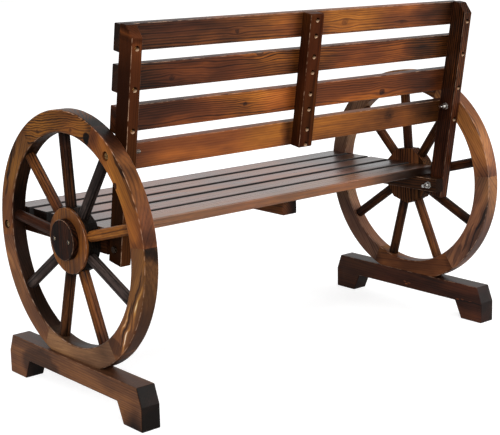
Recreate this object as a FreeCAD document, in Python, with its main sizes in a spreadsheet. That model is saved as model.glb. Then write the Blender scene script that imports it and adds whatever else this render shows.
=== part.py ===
import FreeCAD, Part

import math
import os
import re

import Sketcher
from FreeCAD import Placement, Rotation, Vector

# Garden bench carried by two wooden wagon wheels.
# X runs along the bench, +Y is the rear, +Z is up.
# The origin lies on the floor, midway between the wheels and under their axis.

# Driving sizes in millimetres and degrees

SIZES = {
    # the bench as a whole
    "inside_width": 1006,       # between the inner faces of the two wheels
    "board_end_gap": 2,         # between the boards' ends and the wheels
    "arris_radius": 2.5,        # rounding of sawn edges
    "fit_gap": 0.2,             # play round tenons, screws and bolts
    "overrun": 5,               # how far a cut runs past the wood
    # wheel rim, made of curved felloes
    "rim_radius": 276.5,
    "rim_width": 48,
    "rim_thickness": 35,
    "rim_arris_radius": 4,
    "felloe_count": 6,
    "joint_angle": 6,           # first felloe joint, from the rear towards the top
    "flat_depth": 18,           # sawn off the lowest felloe where it stands on the foot
    # spokes
    "spoke_count": 9,
    "spoke_angle": 15,          # first spoke, from the rear towards the top
    "spoke_diameter": 24,
    "tenon_diameter": 16,
    "rim_tenon": 22,
    "hub_tenon": 22,
    # hub: a many-sided drum, a thin round disc and a thick cap
    "hub_radius": 75,
    "hub_corner": 6,
    "disc_radius": 71,
    "disc_thickness": 6,
    "disc_arris_radius": 2,
    "cap_radius": 44,
    "cap_thickness": 14,
    "cap_lift": 4,              # the cap sits a little above the axis
    "cap_arris_radius": 3,
    "cap_screw_reach": 27,      # from the cap's middle to each screw
    # foot under each wheel
    "foot_length": 517.5,
    "foot_width": 46,
    "foot_height": 91,
    "foot_shoulder": 1.5,       # foot proud of the wheel's inner face
    "pad_length": 66,
    "arch_height": 44.5,
    "arch_slant": 20.5,
    "end_height": 52,           # upright part of the foot's end
    "end_set_back": 15,
    "foot_screw_reach": 45,
    # seat
    "seat_rise": 36,            # top of the seat above the wheel axis
    "seat_back_gap": 0.3,       # between the last board and the face of the back slats
    "seat_board_count": 5,
    "seat_board_thickness": 22,
    "seat_gap": 9.2,
    # rails and bearers under the seat
    "rail_height": 33.5,
    "rail_width": 26,
    "rail_set_back": 6,         # front ends behind the seat's edge
    "rail_end_length": 17.5,    # wood in front of the bolt through rail and rim
    "rail_post_gap": 6,         # between the outer rail and the post
    "bearer_overhang": 3,       # end bearers run this far past the posts
    "middle_bearer_width": 43,
    "middle_bearer_shift": 24.5,
    "middle_bearer_inset": 15.5,
    # back
    "recline_angle": 9,
    "back_offset": 103.7,       # the back's plane behind the wheel axis, at the axis's height
    "post_depth": 43.5,
    "post_drop": 12.1,          # post ends below the bearers
    "post_rise": 2.5,           # post tops above the top slat
    "post_bevel": 22,           # sawn off the posts' rear top corners
    "middle_post_width": 40,
    "middle_post_depth": 28.5,
    "middle_bevel": 3,
    "slat_width": 55.5,
    "slat_thickness": 20.5,
    "slat_lift": 121.7,         # from the seat's level up the back to the lowest slat
    "low_gap": 25.5,
    "mid_gap": 28.5,
    "top_gap": 26,
    # screws
    "screw_diameter": 4.5,
    "screw_head": 9,
    "screw_head_height": 2.6,
    "screw_tip": 5,
    "short_screw": 35,
    "long_screw": 50,
    "bore_diameter": 11,        # counterbores for the screw heads
    "screw_bite_depth": 15.5,   # screw length held in a slat or seat board
    "end_screw_drop": 12,
    "middle_screw_drop": 3,
    "middle_screw_spread": 35,
    # bolts
    "bolt_diameter": 8,
    "bolt_head": 13,
    "bolt_head_height": 5.5,
    "bolt_bore": 20,
    "bolt_bore_depth": 8,
    "bolt_tail": 14,            # bolt end that stands past its nut
    "nut_height": 6.5,
    "washer_diameter": 17,
    "washer_thickness": 1.6,
}

doc = FreeCAD.newDocument("WheelBench")
sheet = doc.addObject("Spreadsheet::Sheet", "Sizes")
for row, (alias, number) in enumerate(SIZES.items(), start=1):
    sheet.set(f"A{row}", alias)
    sheet.set(f"B{row}", str(number))
    sheet.setAlias(f"B{row}", alias)
doc.recompute()


# Formulas: plain words stand for cells of the sheet

def formula(text):
    return re.sub(r"[a-z_]+", lambda m: "Sizes." + m[0] if m[0] in SIZES else m[0], text)


def worth(text):
    value = sheet.evalExpression(formula(text))
    return getattr(value, "Value", value)


HALF_WIDTH = "(inside_width / 2)"
WHEEL_MIDDLE = f"({HALF_WIDTH} + rim_thickness / 2)"
AXLE_HEIGHT = "(foot_height + rim_radius - flat_depth)"
INNER_RADIUS = "(rim_radius - rim_width)"
BOLT_RADIUS = "(rim_radius - rim_width / 2)"
HUB_FLAT = "(hub_radius * cos(180 deg / spoke_count))"
LEAN = "(recline_angle * 1 deg)"
BOARD_LENGTH = "(inside_width - 2 * board_end_gap)"

# Levels are measured from the wheel axis, and u runs up the reclined back from that level.
SEAT_UNDERSIDE = "(seat_rise - seat_board_thickness)"
RAIL_BOTTOM = f"({SEAT_UNDERSIDE} - rail_height)"
RAIL_LEVEL = f"({SEAT_UNDERSIDE} - rail_height / 2)"
LOWEST_SLAT = f"(seat_rise / cos({LEAN}) + slat_lift)"
SLAT_STARTS = [
    LOWEST_SLAT,
    f"({LOWEST_SLAT} + slat_width + low_gap)",
    f"({LOWEST_SLAT} + 2 * slat_width + low_gap + mid_gap)",
    f"({LOWEST_SLAT} + 3 * slat_width + low_gap + mid_gap + top_gap)",
]
SLAT_TOP = f"({SLAT_STARTS[-1]} + slat_width)"
POST_TOP = f"({SLAT_TOP} + post_rise)"
POST_BOTTOM = f"({RAIL_BOTTOM} / cos({LEAN}) - post_drop)"

# The bolt through rim and rail lies level with the rail, at the middle of the rim's width.
RAIL_BOLT = (f"(-sqrt({BOLT_RADIUS}^2 - {RAIL_LEVEL}^2))", RAIL_LEVEL)

# The bolt through rim and post lies where the post's middle line crosses the rim's.
HALF_POST = "(post_depth / 2)"
CROSS_Y = f"(back_offset + {HALF_POST} * cos({LEAN}))"
CROSS_Z = f"(-{HALF_POST} * sin({LEAN}))"
CROSS_HALF = f"({CROSS_Y} * sin({LEAN}) + {CROSS_Z} * cos({LEAN}))"
CROSS_REST = f"({CROSS_Y}^2 + {CROSS_Z}^2 - {BOLT_RADIUS}^2)"
POST_BOLT_U = f"(sqrt({CROSS_HALF}^2 - {CROSS_REST}) - {CROSS_HALF})"
POST_BOLT = (f"({CROSS_Y} + {POST_BOLT_U} * sin({LEAN}))",
             f"({CROSS_Z} + {POST_BOLT_U} * cos({LEAN}))")

# The bolt through post and bearer lies level with the bearer's middle.
BEARER_BOLT_U = f"(({RAIL_LEVEL} - {CROSS_Z}) / cos({LEAN}))"
BEARER_BOLT = (f"({CROSS_Y} + {BEARER_BOLT_U} * sin({LEAN}))", RAIL_LEVEL)

# Seat and rails reach from the bolt in front to the back slats and posts behind.
RAIL_FRONT = f"({RAIL_BOLT[0]} - rail_end_length)"
RAIL_REAR = f"(back_offset + {RAIL_BOTTOM} * tan({LEAN}) - rail_post_gap)"
POST_REAR = f"(back_offset + {RAIL_LEVEL} * tan({LEAN}) + post_depth / cos({LEAN}))"
BEARER_REAR = f"({POST_REAR} + bearer_overhang)"
SEAT_FRONT = f"({RAIL_FRONT} - rail_set_back)"
SLAT_FACE = f"(back_offset + seat_rise * tan({LEAN}) - slat_thickness / cos({LEAN}))"
SEAT_REAR = f"({SLAT_FACE} - seat_back_gap)"
SEAT_PITCH = f"(({SEAT_REAR} - {SEAT_FRONT} + seat_gap) / seat_board_count)"
SEAT_BOARD_WIDTH = f"({SEAT_PITCH} - seat_gap)"
FIRST_BOARD = f"({SEAT_FRONT} + {SEAT_BOARD_WIDTH} / 2)"
MIDDLE_REAR = f"({SEAT_REAR} - middle_bearer_inset)"
OUTER_RAIL_X = f"({HALF_WIDTH} - rail_width / 2)"
BEARER_X = f"({HALF_WIDTH} - rail_width * 3 / 2)"

# The foot screws pass through the beam above the arch and bite into the lowest felloe.
FOOT_WOOD = "(foot_height - arch_height)"
FOOT_BORE = f"({FOOT_WOOD} + screw_bite_depth - long_screw)"
STANDING_FLAT = "(flat_depth - rim_radius)"

SCREW_HOLE = "(screw_diameter + 2 * fit_gap)"
BOLT_HOLE = "(bolt_diameter + 2 * fit_gap)"
HOLE_DEPTH = "(screw_bite_depth + fit_gap)"
SIDES = (("left", 1), ("right", -1))
nodes = []


# Drawing and feature helpers

def new_body(name):
    body = doc.addObject("PartDesign::Body", name)
    body.Label = name
    nodes.append(body)
    return body


def origin_feature(body, role):
    return next(f for f in body.Origin.OriginFeatures if f.Role == role)


def sketch(body, name, plane, turn=None, lift=None):
    """A sketch on a base plane, turned about the plane's normal or lifted off it."""
    drawing = body.newObject("Sketcher::SketchObject", name)
    drawing.AttachmentSupport = [(origin_feature(body, plane), "")]
    drawing.MapMode = "FlatFace"
    if turn:
        drawing.setExpression("AttachmentOffset.Rotation.Angle", formula(turn))
    if lift:
        drawing.setExpression("AttachmentOffset.Base.z", formula(lift))
    return drawing


def pin_down(drawing, geometry, point, x, y):
    """Ties a point of the sketch to two formulas."""
    for text, kind, axis in ((x, "DistanceX", -2), (y, "DistanceY", -1)):
        if text == "0":
            drawing.addConstraint(Sketcher.Constraint("PointOnObject", geometry, point, axis))
            continue
        index = drawing.addConstraint(
            Sketcher.Constraint(kind, -1, 1, geometry, point, worth(text)))
        drawing.setExpression(f"Constraints[{index}]", formula(text))


def polygon(drawing, points):
    """A closed outline of straight lines whose corners follow formulas."""
    corners = [Vector(worth(x), worth(y), 0) for x, y in points]
    first = drawing.GeometryCount
    for start, end in zip(corners, corners[1:] + corners[:1]):
        drawing.addGeometry(Part.LineSegment(start, end))
    count = len(corners)
    for i in range(count):
        following = first + (i + 1) % count
        drawing.addConstraint(Sketcher.Constraint("Coincident", first + i, 2, following, 1))
    for i, (x, y) in enumerate(points):
        pin_down(drawing, first + i, 1, x, y)


def rectangle(drawing, x_low, x_high, y_low, y_high):
    polygon(drawing, [(x_low, y_low), (x_high, y_low), (x_high, y_high), (x_low, y_high)])


def axis_line(drawing, x, y_low, y_high):
    """An upright line that only serves as the axis of a groove."""
    start, end = Vector(worth(x), worth(y_low), 0), Vector(worth(x), worth(y_high), 0)
    index = drawing.addGeometry(Part.LineSegment(start, end), True)
    pin_down(drawing, index, 1, x, y_low)
    pin_down(drawing, index, 2, x, y_high)


def circles(drawing, diameter, places):
    for x, y in places:
        centre = Vector(worth(x), worth(y), 0)
        index = drawing.addGeometry(Part.Circle(centre, Vector(0, 0, 1), worth(diameter) / 2))
        pin_down(drawing, index, 3, x, y)
        size = drawing.addConstraint(Sketcher.Constraint("Diameter", index, worth(diameter)))
        drawing.setExpression(f"Constraints[{size}]", formula(diameter))


def pad(body, drawing, length, other=None):
    """Thickens a sketch evenly to both sides, or by one length each way."""
    feature = body.newObject("PartDesign::Pad", drawing.Name + "_pad")
    feature.Profile = drawing
    feature.SideType = "Two sides" if other else "Symmetric"
    feature.setExpression("Length", formula(length))
    if other:
        feature.setExpression("Length2", formula(other))
    doc.recompute()
    return feature


def must_cut(body, feature, before):
    doc.recompute()
    if feature.Shape.Volume >= before:
        raise RuntimeError(f"{body.Label}: {feature.Label} removed nothing")
    return feature


def pocket(body, drawing, depth=None):
    """Cuts a sketch through the wood, or to a depth on both sides of its plane."""
    before = body.Tip.Shape.Volume
    feature = body.newObject("PartDesign::Pocket", drawing.Name + "_pocket")
    feature.Profile = drawing
    feature.SideType = "Symmetric"
    if depth:
        feature.setExpression("Length", formula(f"2 * ({depth})"))
    else:
        feature.Type = "ThroughAll"
    return must_cut(body, feature, before)


def groove(body, drawing, axis="H_Axis"):
    before = body.Tip.Shape.Volume
    feature = body.newObject("PartDesign::Groove", drawing.Name + "_groove")
    feature.Profile = drawing
    feature.ReferenceAxis = (drawing, [axis])
    return must_cut(body, feature, before)


def round_over(body, radius, wanted):
    """Rounds the edges that the test picks out."""
    base = body.Tip
    names = [f"Edge{i}" for i, edge in enumerate(base.Shape.Edges, start=1) if wanted(edge)]
    feature = body.newObject("PartDesign::Fillet", f"{body.Name}_round")
    feature.Base = (base, names)
    feature.setExpression("Radius", formula(radius))
    doc.recompute()
    return feature


def place(body, x="0", y="0", z="0", turn=None, axis=Vector(1, 0, 0)):
    body.Placement = Placement(Vector(0, 0, 0), Rotation(axis, 1))
    for letter, text in zip("xyz", (x, y, z)):
        body.setExpression(f"Placement.Base.{letter}", formula(text))
    body.setExpression("Placement.Rotation.Angle", formula(turn or "0"))


def runs_along_x(edge):
    start, end = edge.Vertexes[0].Point, edge.Vertexes[-1].Point
    return abs(start.x - end.x) > 0.9 * edge.Length


def on_side_face(edge, half_width):
    return all(math.isclose(abs(v.X), half_width, rel_tol=1e-6) for v in edge.Vertexes)


# Wheel rim: felloes turned from the same section, with spoke sockets and bolt holes

def angle_off(angle, centre):
    """Signed difference of two directions, in degrees."""
    return (angle - centre + 180) % 360 - 180


def misses(y, z, diameter, centre):
    """Whether a hole across the rim lies clear of the felloe with this middle direction."""
    direction = math.degrees(math.atan2(worth(z), worth(y)))
    half_hole = math.degrees(worth(f"{diameter} / 2 / sqrt({y}^2 + {z}^2)"))
    return abs(angle_off(direction, centre)) > worth("180 / felloe_count") + half_hole


def felloe(side_name, side, index):
    name = f"{side_name}_felloe_{index + 1}"
    centre = f"(joint_angle * 1 deg + {index + 0.5} * 360 deg / felloe_count)"
    centre_degrees = worth(centre)
    half_span = worth("180 / felloe_count")
    body = new_body(name)

    section = sketch(body, f"{name}_section", "XY_Plane")
    rectangle(section, "-rim_thickness / 2", "rim_thickness / 2", INNER_RADIUS, "rim_radius")
    turned = body.newObject("PartDesign::Revolution", f"{name}_turned")
    turned.Profile = section
    turned.ReferenceAxis = (section, ["H_Axis"])
    turned.Midplane = True
    turned.setExpression("Angle", formula("360 deg / felloe_count"))
    doc.recompute()
    round_over(body, "rim_arris_radius", lambda edge: isinstance(edge.Curve, Part.Circle))

    # The lowest felloe is sawn flat to stand on the foot.
    flat_half = math.degrees(math.acos(worth("(rim_radius - flat_depth) / rim_radius")))
    if abs(angle_off(270, centre_degrees)) < half_span + flat_half:
        flat = sketch(body, f"{name}_flat", "YZ_Plane", turn=f"-{centre}")
        rectangle(flat, "-rim_radius", "rim_radius", "-rim_radius - overrun", STANDING_FLAT)
        pocket(body, flat)
    for number, way in enumerate((-1, 1), start=1):
        middle = f"({way} * foot_screw_reach)"
        if misses(middle, STANDING_FLAT, SCREW_HOLE, centre_degrees):
            continue
        pilot = sketch(body, f"{name}_pilot_{number}", "YZ_Plane", turn=f"-{centre}")
        axis_line(pilot, middle, f"{STANDING_FLAT} - overrun", f"{STANDING_FLAT} + {HOLE_DEPTH}")
        rectangle(pilot, middle, f"{middle} + {SCREW_HOLE} / 2",
                  f"{STANDING_FLAT} - overrun", f"{STANDING_FLAT} + {HOLE_DEPTH}")
        groove(body, pilot, "Axis0")

    # Sockets for the spokes that reach this felloe
    for spoke in range(int(worth("spoke_count"))):
        direction = f"(spoke_angle * 1 deg + {spoke} * 360 deg / spoke_count)"
        reach = math.degrees(worth(f"tenon_diameter / 2 / {INNER_RADIUS}"))
        if abs(angle_off(worth(direction), centre_degrees)) > half_span + reach:
            continue
        socket = sketch(body, f"{name}_socket_{spoke + 1}", "YZ_Plane",
                        turn=f"{direction} - {centre}")
        rectangle(socket, f"{INNER_RADIUS} - overrun", f"{INNER_RADIUS} + rim_tenon + fit_gap",
                  "0", "tenon_diameter / 2 + fit_gap")
        groove(body, socket)

    # Counterbored holes for the bolts to the rail and the post
    outer_face = f"{side} * rim_thickness / 2"
    for bolt_name, (y, z) in (("rail", RAIL_BOLT), ("post", POST_BOLT)):
        if misses(y, z, "bolt_bore", centre_degrees):
            continue
        hole = sketch(body, f"{name}_{bolt_name}_hole", "YZ_Plane", turn=f"-{centre}")
        circles(hole, BOLT_HOLE, [(y, z)])
        pocket(body, hole)
        bore = sketch(body, f"{name}_{bolt_name}_bore", "YZ_Plane",
                      turn=f"-{centre}", lift=outer_face)
        circles(bore, "bolt_bore", [(y, z)])
        pocket(body, bore, "bolt_bore_depth")

    place(body, f"{side} * {WHEEL_MIDDLE}", "0", AXLE_HEIGHT, centre)


# Spoke: a dowel with a turned tenon at each end, shouldered on the hub's flat and inside the rim

SPOKE_FOOT = f"({HUB_FLAT} + fit_gap)"
SPOKE_HEAD = f"(sqrt({INNER_RADIUS}^2 - (spoke_diameter / 2)^2) - fit_gap)"


def spoke(side_name, side, index):
    name = f"{side_name}_spoke_{index + 1}"
    body = new_body(name)
    outline = sketch(body, f"{name}_outline", "XY_Plane")
    tenon = "tenon_diameter / 2"
    full = "spoke_diameter / 2"
    hub_end = f"({HUB_FLAT} - hub_tenon)"
    rim_end = f"({INNER_RADIUS} + rim_tenon)"
    polygon(outline, [
        ("0", hub_end), (tenon, hub_end), (tenon, SPOKE_FOOT), (full, SPOKE_FOOT),
        (full, SPOKE_HEAD), (tenon, SPOKE_HEAD), (tenon, rim_end), ("0", rim_end)])
    turned = body.newObject("PartDesign::Revolution", f"{name}_turned")
    turned.Profile = outline
    turned.ReferenceAxis = (outline, ["V_Axis"])
    place(body, f"{side} * {WHEEL_MIDDLE}", "0", AXLE_HEIGHT,
          f"spoke_angle * 1 deg + {index} * 360 deg / spoke_count")


# Hub: the drum has one flat for each spoke; disc and cap lie on its outer side

DISC_X = f"({HALF_WIDTH} + rim_thickness - disc_thickness)"
CAP_X = f"({HALF_WIDTH} + rim_thickness)"
HUB_BITE = "(short_screw - cap_thickness - disc_thickness)"
CAP_SCREWS = [("-cap_screw_reach", "cap_lift"), ("cap_screw_reach", "cap_lift")]


def hub_drum(side_name, side):
    name = f"{side_name}_hub"
    body = new_body(name)
    outer, inner = "rim_thickness / 2 - disc_thickness", "rim_thickness / 2"
    face = sketch(body, f"{name}_face", "YZ_Plane", turn="spoke_angle * 1 deg")
    count = int(worth("spoke_count"))
    corners = []
    for i in range(count):
        corner = f"({i + 0.5} * 360 deg / spoke_count)"
        corners.append((f"hub_radius * cos({corner})", f"hub_radius * sin({corner})"))
    polygon(face, corners)
    lengths = (outer, inner) if side > 0 else (inner, outer)
    pad(body, face, *lengths)
    round_over(body, "hub_corner", runs_along_x)

    socket = sketch(body, f"{name}_socket", "YZ_Plane", turn="spoke_angle * 1 deg")
    rectangle(socket, f"{HUB_FLAT} - hub_tenon - fit_gap", f"{HUB_FLAT} + overrun",
              "0", "tenon_diameter / 2 + fit_gap")
    cut = groove(body, socket)
    ring = body.newObject("PartDesign::PolarPattern", f"{name}_sockets")
    ring.Originals = [cut]
    ring.Axis = (origin_feature(body, "X_Axis"), [""])
    ring.setExpression("Occurrences", formula("spoke_count"))
    body.Tip = ring
    doc.recompute()

    starter = sketch(body, f"{name}_screw_holes", "YZ_Plane", lift=f"{side} * ({outer})")
    circles(starter, SCREW_HOLE, CAP_SCREWS)
    pocket(body, starter, f"{HUB_BITE} + fit_gap")
    place(body, f"{side} * {WHEEL_MIDDLE}", "0", AXLE_HEIGHT)


def hub_round(name, side, radius, thickness, arris, x, lift, screws):
    """The disc and the cap: flat rounds with a softened outer edge and two screw holes."""
    body = new_body(name)
    face = sketch(body, f"{name}_face", "YZ_Plane", lift=f"{thickness} / 2")
    circles(face, f"2 * {radius}", [("0", "0")])
    pad(body, face, thickness)
    outer = worth(thickness)
    round_over(body, arris, lambda edge: isinstance(edge.Curve, Part.Circle)
               and math.isclose(edge.CenterOfMass.x, outer, rel_tol=1e-6))
    holes = sketch(body, f"{name}_screw_holes", "YZ_Plane")
    circles(holes, SCREW_HOLE, screws)
    pocket(body, holes)
    place(body, f"{side} * {x}", "0", f"{AXLE_HEIGHT} + {lift}",
          "0" if side > 0 else "180 deg", Vector(0, 0, 1))


# Foot: a beam with an arch under it and sloping ends; the wheel stands on its top

FOOT_X = f"({HALF_WIDTH} - foot_shoulder + foot_width / 2)"


def foot(side_name, side):
    name = f"{side_name}_foot"
    body = new_body(name)
    profile = sketch(body, f"{name}_profile", "YZ_Plane")
    half = "(foot_length / 2)"
    right_half = [
        (f"{half} - pad_length - arch_slant", "arch_height"),
        (f"{half} - pad_length", "0"),
        (half, "0"),
        (half, "end_height"),
        (f"{half} - end_set_back", "foot_height"),
    ]
    left_half = [(f"-({y})", z) for y, z in reversed(right_half)]
    polygon(profile, right_half + left_half)
    pad(body, profile, "foot_width")
    half_width = worth("foot_width / 2")
    round_over(body, "arris_radius", lambda edge: on_side_face(edge, half_width))

    x = f"{side} * ({WHEEL_MIDDLE} - {FOOT_X})"
    places = [(x, "-foot_screw_reach"), (x, "foot_screw_reach")]
    holes = sketch(body, f"{name}_screw_holes", "XY_Plane")
    circles(holes, SCREW_HOLE, places)
    pocket(body, holes)
    bores = sketch(body, f"{name}_bores", "XY_Plane", lift="arch_height")
    circles(bores, "bore_diameter", places)
    pocket(body, bores, FOOT_BORE)
    place(body, f"{side} * {FOOT_X}")


# Back: two end posts, a middle post and four slats, drawn in the plane of the reclined back

def place_on_back(body, x="0"):
    place(body, x, "back_offset", AXLE_HEIGHT, f"-{LEAN}")


def screw_heights(drop):
    return [f"({start} + slat_width / 2 - {drop})" for start in SLAT_STARTS]


END_SCREWS = screw_heights("end_screw_drop")
MIDDLE_SCREWS = [f"({height} + {way} * middle_screw_spread / 2)"
                 for height in screw_heights("middle_screw_drop") for way in (-1, 1)]


def post(name, x, width, depth, low, high, bevel, heights, screw, bolts=()):
    """An upright of the back; its rear top corner is sawn off."""
    body = new_body(name)
    profile = sketch(body, f"{name}_profile", "YZ_Plane")
    polygon(profile, [("0", low), (depth, low), (depth, f"{high} - {bevel}"),
                      (f"{depth} - {bevel}", high), ("0", high)])
    pad(body, profile, width)
    half_width = worth(width) / 2
    round_over(body, "arris_radius", lambda edge: on_side_face(edge, half_width))

    places = [("0", height) for height in heights]
    holes = sketch(body, f"{name}_screw_holes", "XZ_Plane")
    circles(holes, SCREW_HOLE, places)
    pocket(body, holes)
    bores = sketch(body, f"{name}_bores", "XZ_Plane", lift=f"-{depth}")
    circles(bores, "bore_diameter", places)
    pocket(body, bores, f"{depth} + screw_bite_depth - {screw}")
    if bolts:
        bolt_holes = sketch(body, f"{name}_bolt_holes", "YZ_Plane")
        circles(bolt_holes, BOLT_HOLE, [(HALF_POST, u) for u in bolts])
        pocket(body, bolt_holes)
    place_on_back(body, x)


def back_slat(index):
    start = SLAT_STARTS[-1 - index]
    name = f"back_slat_{index + 1}"
    body = new_body(name)
    profile = sketch(body, f"{name}_profile", "YZ_Plane")
    rectangle(profile, "-slat_thickness", "0", start, f"{start} + slat_width")
    pad(body, profile, BOARD_LENGTH)
    round_over(body, "arris_radius", runs_along_x)

    last = len(SLAT_STARTS) - 1 - index
    places = [(f"{way} * {OUTER_RAIL_X}", END_SCREWS[last]) for way in (-1, 1)]
    places += [("0", height) for height in MIDDLE_SCREWS[2 * last:2 * last + 2]]
    starters = sketch(body, f"{name}_screw_holes", "XZ_Plane")
    circles(starters, SCREW_HOLE, places)
    pocket(body, starters, HOLE_DEPTH)
    place_on_back(body)


# Seat: boards screwed from below to five rails and bearers

BEARER_PLACES = [f"-{OUTER_RAIL_X}", f"-{BEARER_X}", "-middle_bearer_shift", BEARER_X, OUTER_RAIL_X]
SEAT_BORE = "(rail_height + screw_bite_depth - short_screw)"


def seat_board(index):
    name = f"seat_board_{index + 1}"
    body = new_body(name)
    profile = sketch(body, f"{name}_profile", "YZ_Plane")
    rectangle(profile, f"-{SEAT_BOARD_WIDTH} / 2", f"{SEAT_BOARD_WIDTH} / 2",
              "0", "seat_board_thickness")
    pad(body, profile, BOARD_LENGTH)
    round_over(body, "arris_radius", runs_along_x)
    starters = sketch(body, f"{name}_screw_holes", "XY_Plane")
    circles(starters, SCREW_HOLE, [(x, "0") for x in BEARER_PLACES])
    pocket(body, starters, HOLE_DEPTH)
    place(body, "0", f"{FIRST_BOARD} + {index} * {SEAT_PITCH}",
          f"{AXLE_HEIGHT} + {SEAT_UNDERSIDE}")


def bearer(name, x, width, rear, bolts=()):
    """A straight rail under the seat, with one counterbored screw hole for each board."""
    body = new_body(name)
    half = f"{width} / 2"
    bottom = sketch(body, f"{name}_profile", "XY_Plane", lift="rail_height / 2")
    rectangle(bottom, f"-{half}", half, RAIL_FRONT, rear)
    pad(body, bottom, "rail_height")
    half_width = worth(half)
    length = worth(f"{rear} - {RAIL_FRONT}")
    round_over(body, "arris_radius", lambda edge: on_side_face(edge, half_width)
               and math.isclose(edge.Length, length, rel_tol=1e-6))

    hole = sketch(body, f"{name}_screw_hole", "XY_Plane")
    circles(hole, SCREW_HOLE, [("0", FIRST_BOARD)])
    bore = sketch(body, f"{name}_bore", "XY_Plane")
    circles(bore, "bore_diameter", [("0", FIRST_BOARD)])
    cuts = [pocket(body, hole), pocket(body, bore, SEAT_BORE)]
    row = body.newObject("PartDesign::LinearPattern", f"{name}_screw_row")
    row.Originals = cuts
    row.Direction = (origin_feature(body, "Y_Axis"), [""])
    row.Mode = "Spacing"
    row.setExpression("Offset", formula(SEAT_PITCH))
    row.setExpression("Occurrences", formula("seat_board_count"))
    body.Tip = row
    doc.recompute()
    if bolts:
        bolt_holes = sketch(body, f"{name}_bolt_holes", "YZ_Plane")
        circles(bolt_holes, BOLT_HOLE, [(y, "rail_height / 2") for y in bolts])
        pocket(body, bolt_holes)
    place(body, x, "0", f"{AXLE_HEIGHT} + {RAIL_BOTTOM}")


# Fasteners: each kind is one node holding separate solids

def group(name, solids):
    feature = doc.addObject("Part::Feature", name)
    feature.Label = name
    feature.Shape = Part.makeCompound(solids)
    nodes.append(feature)


def screw(length):
    """A pan-head wood screw along -Z, its head resting on the plane z = 0."""
    shank, head = worth("screw_diameter / 2"), worth("screw_head / 2")
    top, tip = worth("screw_head_height"), worth("screw_tip")
    outline = [
        Vector(0, 0, top), Vector(head - shank / 2, 0, top), Vector(head, 0, top / 2),
        Vector(head, 0, 0), Vector(shank, 0, 0), Vector(shank, 0, tip - length),
        Vector(0, 0, -length), Vector(0, 0, top)]
    face = Part.Face(Part.makePolygon(outline))
    return face.revolve(Vector(0, 0, 0), Vector(0, 0, 1), 360)


def hexagon(across, height):
    radius = across / 2 / math.cos(math.pi / 6)
    corners = [Vector(radius * math.cos(math.pi * i / 3), radius * math.sin(math.pi * i / 3), 0)
               for i in range(6)]
    return Part.Face(Part.makePolygon(corners + corners[:1])).extrude(Vector(0, 0, height))


def set_down(shape, point, direction):
    """A copy of a fastener whose axis points along a direction, its seat at a point."""
    copy = shape.copy()
    copy.Placement = Placement(point, Rotation(Vector(0, 0, 1), direction))
    return copy


def back_point(x, n, u):
    """A point of the reclined back, n behind its plane and u up it."""
    lean = math.radians(worth("recline_angle"))
    return Vector(x, worth("back_offset") + n * math.cos(lean) + u * math.sin(lean),
                  worth(AXLE_HEIGHT) + u * math.cos(lean) - n * math.sin(lean))


def rearward():
    return back_point(0, 1, 0) - back_point(0, 0, 0)


def short_screws():
    pattern = screw(worth("short_screw"))
    seat = worth("short_screw - screw_bite_depth")
    solids = [set_down(pattern, back_point(0, seat, worth(u)), rearward()) for u in MIDDLE_SCREWS]
    level = worth(f"{AXLE_HEIGHT} + {SEAT_UNDERSIDE}") - seat
    for x in BEARER_PLACES:
        for board in range(int(worth("seat_board_count"))):
            point = Vector(worth(x), worth(f"{FIRST_BOARD} + {board} * {SEAT_PITCH}"), level)
            solids.append(set_down(pattern, point, Vector(0, 0, -1)))
    for _, side in SIDES:
        for y, z in CAP_SCREWS:
            point = Vector(side * worth(f"{CAP_X} + cap_thickness"), worth(y),
                           worth(f"{AXLE_HEIGHT} + {z}"))
            solids.append(set_down(pattern, point, Vector(side, 0, 0)))
    group("short_screws", solids)


def long_screws():
    pattern = screw(worth("long_screw"))
    seat = worth("long_screw - screw_bite_depth")
    solids = []
    for _, side in SIDES:
        x = side * worth(OUTER_RAIL_X)
        solids += [set_down(pattern, back_point(x, seat, worth(u)), rearward())
                   for u in END_SCREWS]
        for way in (-1, 1):
            point = Vector(side * worth(WHEEL_MIDDLE), way * worth("foot_screw_reach"),
                           worth(f"arch_height + {FOOT_BORE}"))
            solids.append(set_down(pattern, point, Vector(0, 0, -1)))
    group("long_screws", solids)


NUT_FACE = f"({HALF_WIDTH} - 2 * rail_width)"
POST_FACE = f"({HALF_WIDTH} - rail_width)"
BORE_FLOOR = f"({HALF_WIDTH} + rim_thickness - bolt_bore_depth)"
BOLTS = [
    # head's seat, nut's seat, y, z
    (BORE_FLOOR, NUT_FACE, *RAIL_BOLT),
    (BORE_FLOOR, POST_FACE, *POST_BOLT),
    (HALF_WIDTH, NUT_FACE, *BEARER_BOLT),
]


def frame_bolts():
    radius, tail = worth("bolt_diameter / 2"), worth("washer_thickness + nut_height + bolt_tail")
    head = hexagon(worth("bolt_head"), worth("bolt_head_height"))
    washer = Part.makeCylinder(worth("washer_diameter / 2"), worth("washer_thickness"))
    washer = washer.cut(Part.makeCylinder(worth(f"{BOLT_HOLE} / 2"), worth("washer_thickness")))
    nut = hexagon(worth("bolt_head"), worth("nut_height"))
    nut = nut.cut(Part.makeCylinder(worth(f"{BOLT_HOLE} / 2"), worth("nut_height")))
    bolts, washers, nuts = [], [], []
    for _, side in SIDES:
        outward, inward = Vector(side, 0, 0), Vector(-side, 0, 0)
        for head_seat, nut_seat, y, z in BOLTS:
            start, end = worth(head_seat), worth(nut_seat)
            y, z = worth(y), worth(f"{AXLE_HEIGHT} + {z}")
            grip = start - end
            shank = Part.makeCylinder(radius, grip + tail, Vector(0, 0, -grip - tail))
            bolt = head.fuse(shank)
            bolts.append(set_down(bolt, Vector(side * start, y, z), outward))
            washers.append(set_down(washer, Vector(side * end, y, z), inward))
            nut_seat = end - worth("washer_thickness")
            nuts.append(set_down(nut, Vector(side * nut_seat, y, z), inward))
    group("frame_bolts", bolts)
    group("frame_washers", washers)
    group("frame_nuts", nuts)


# Assembly

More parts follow.
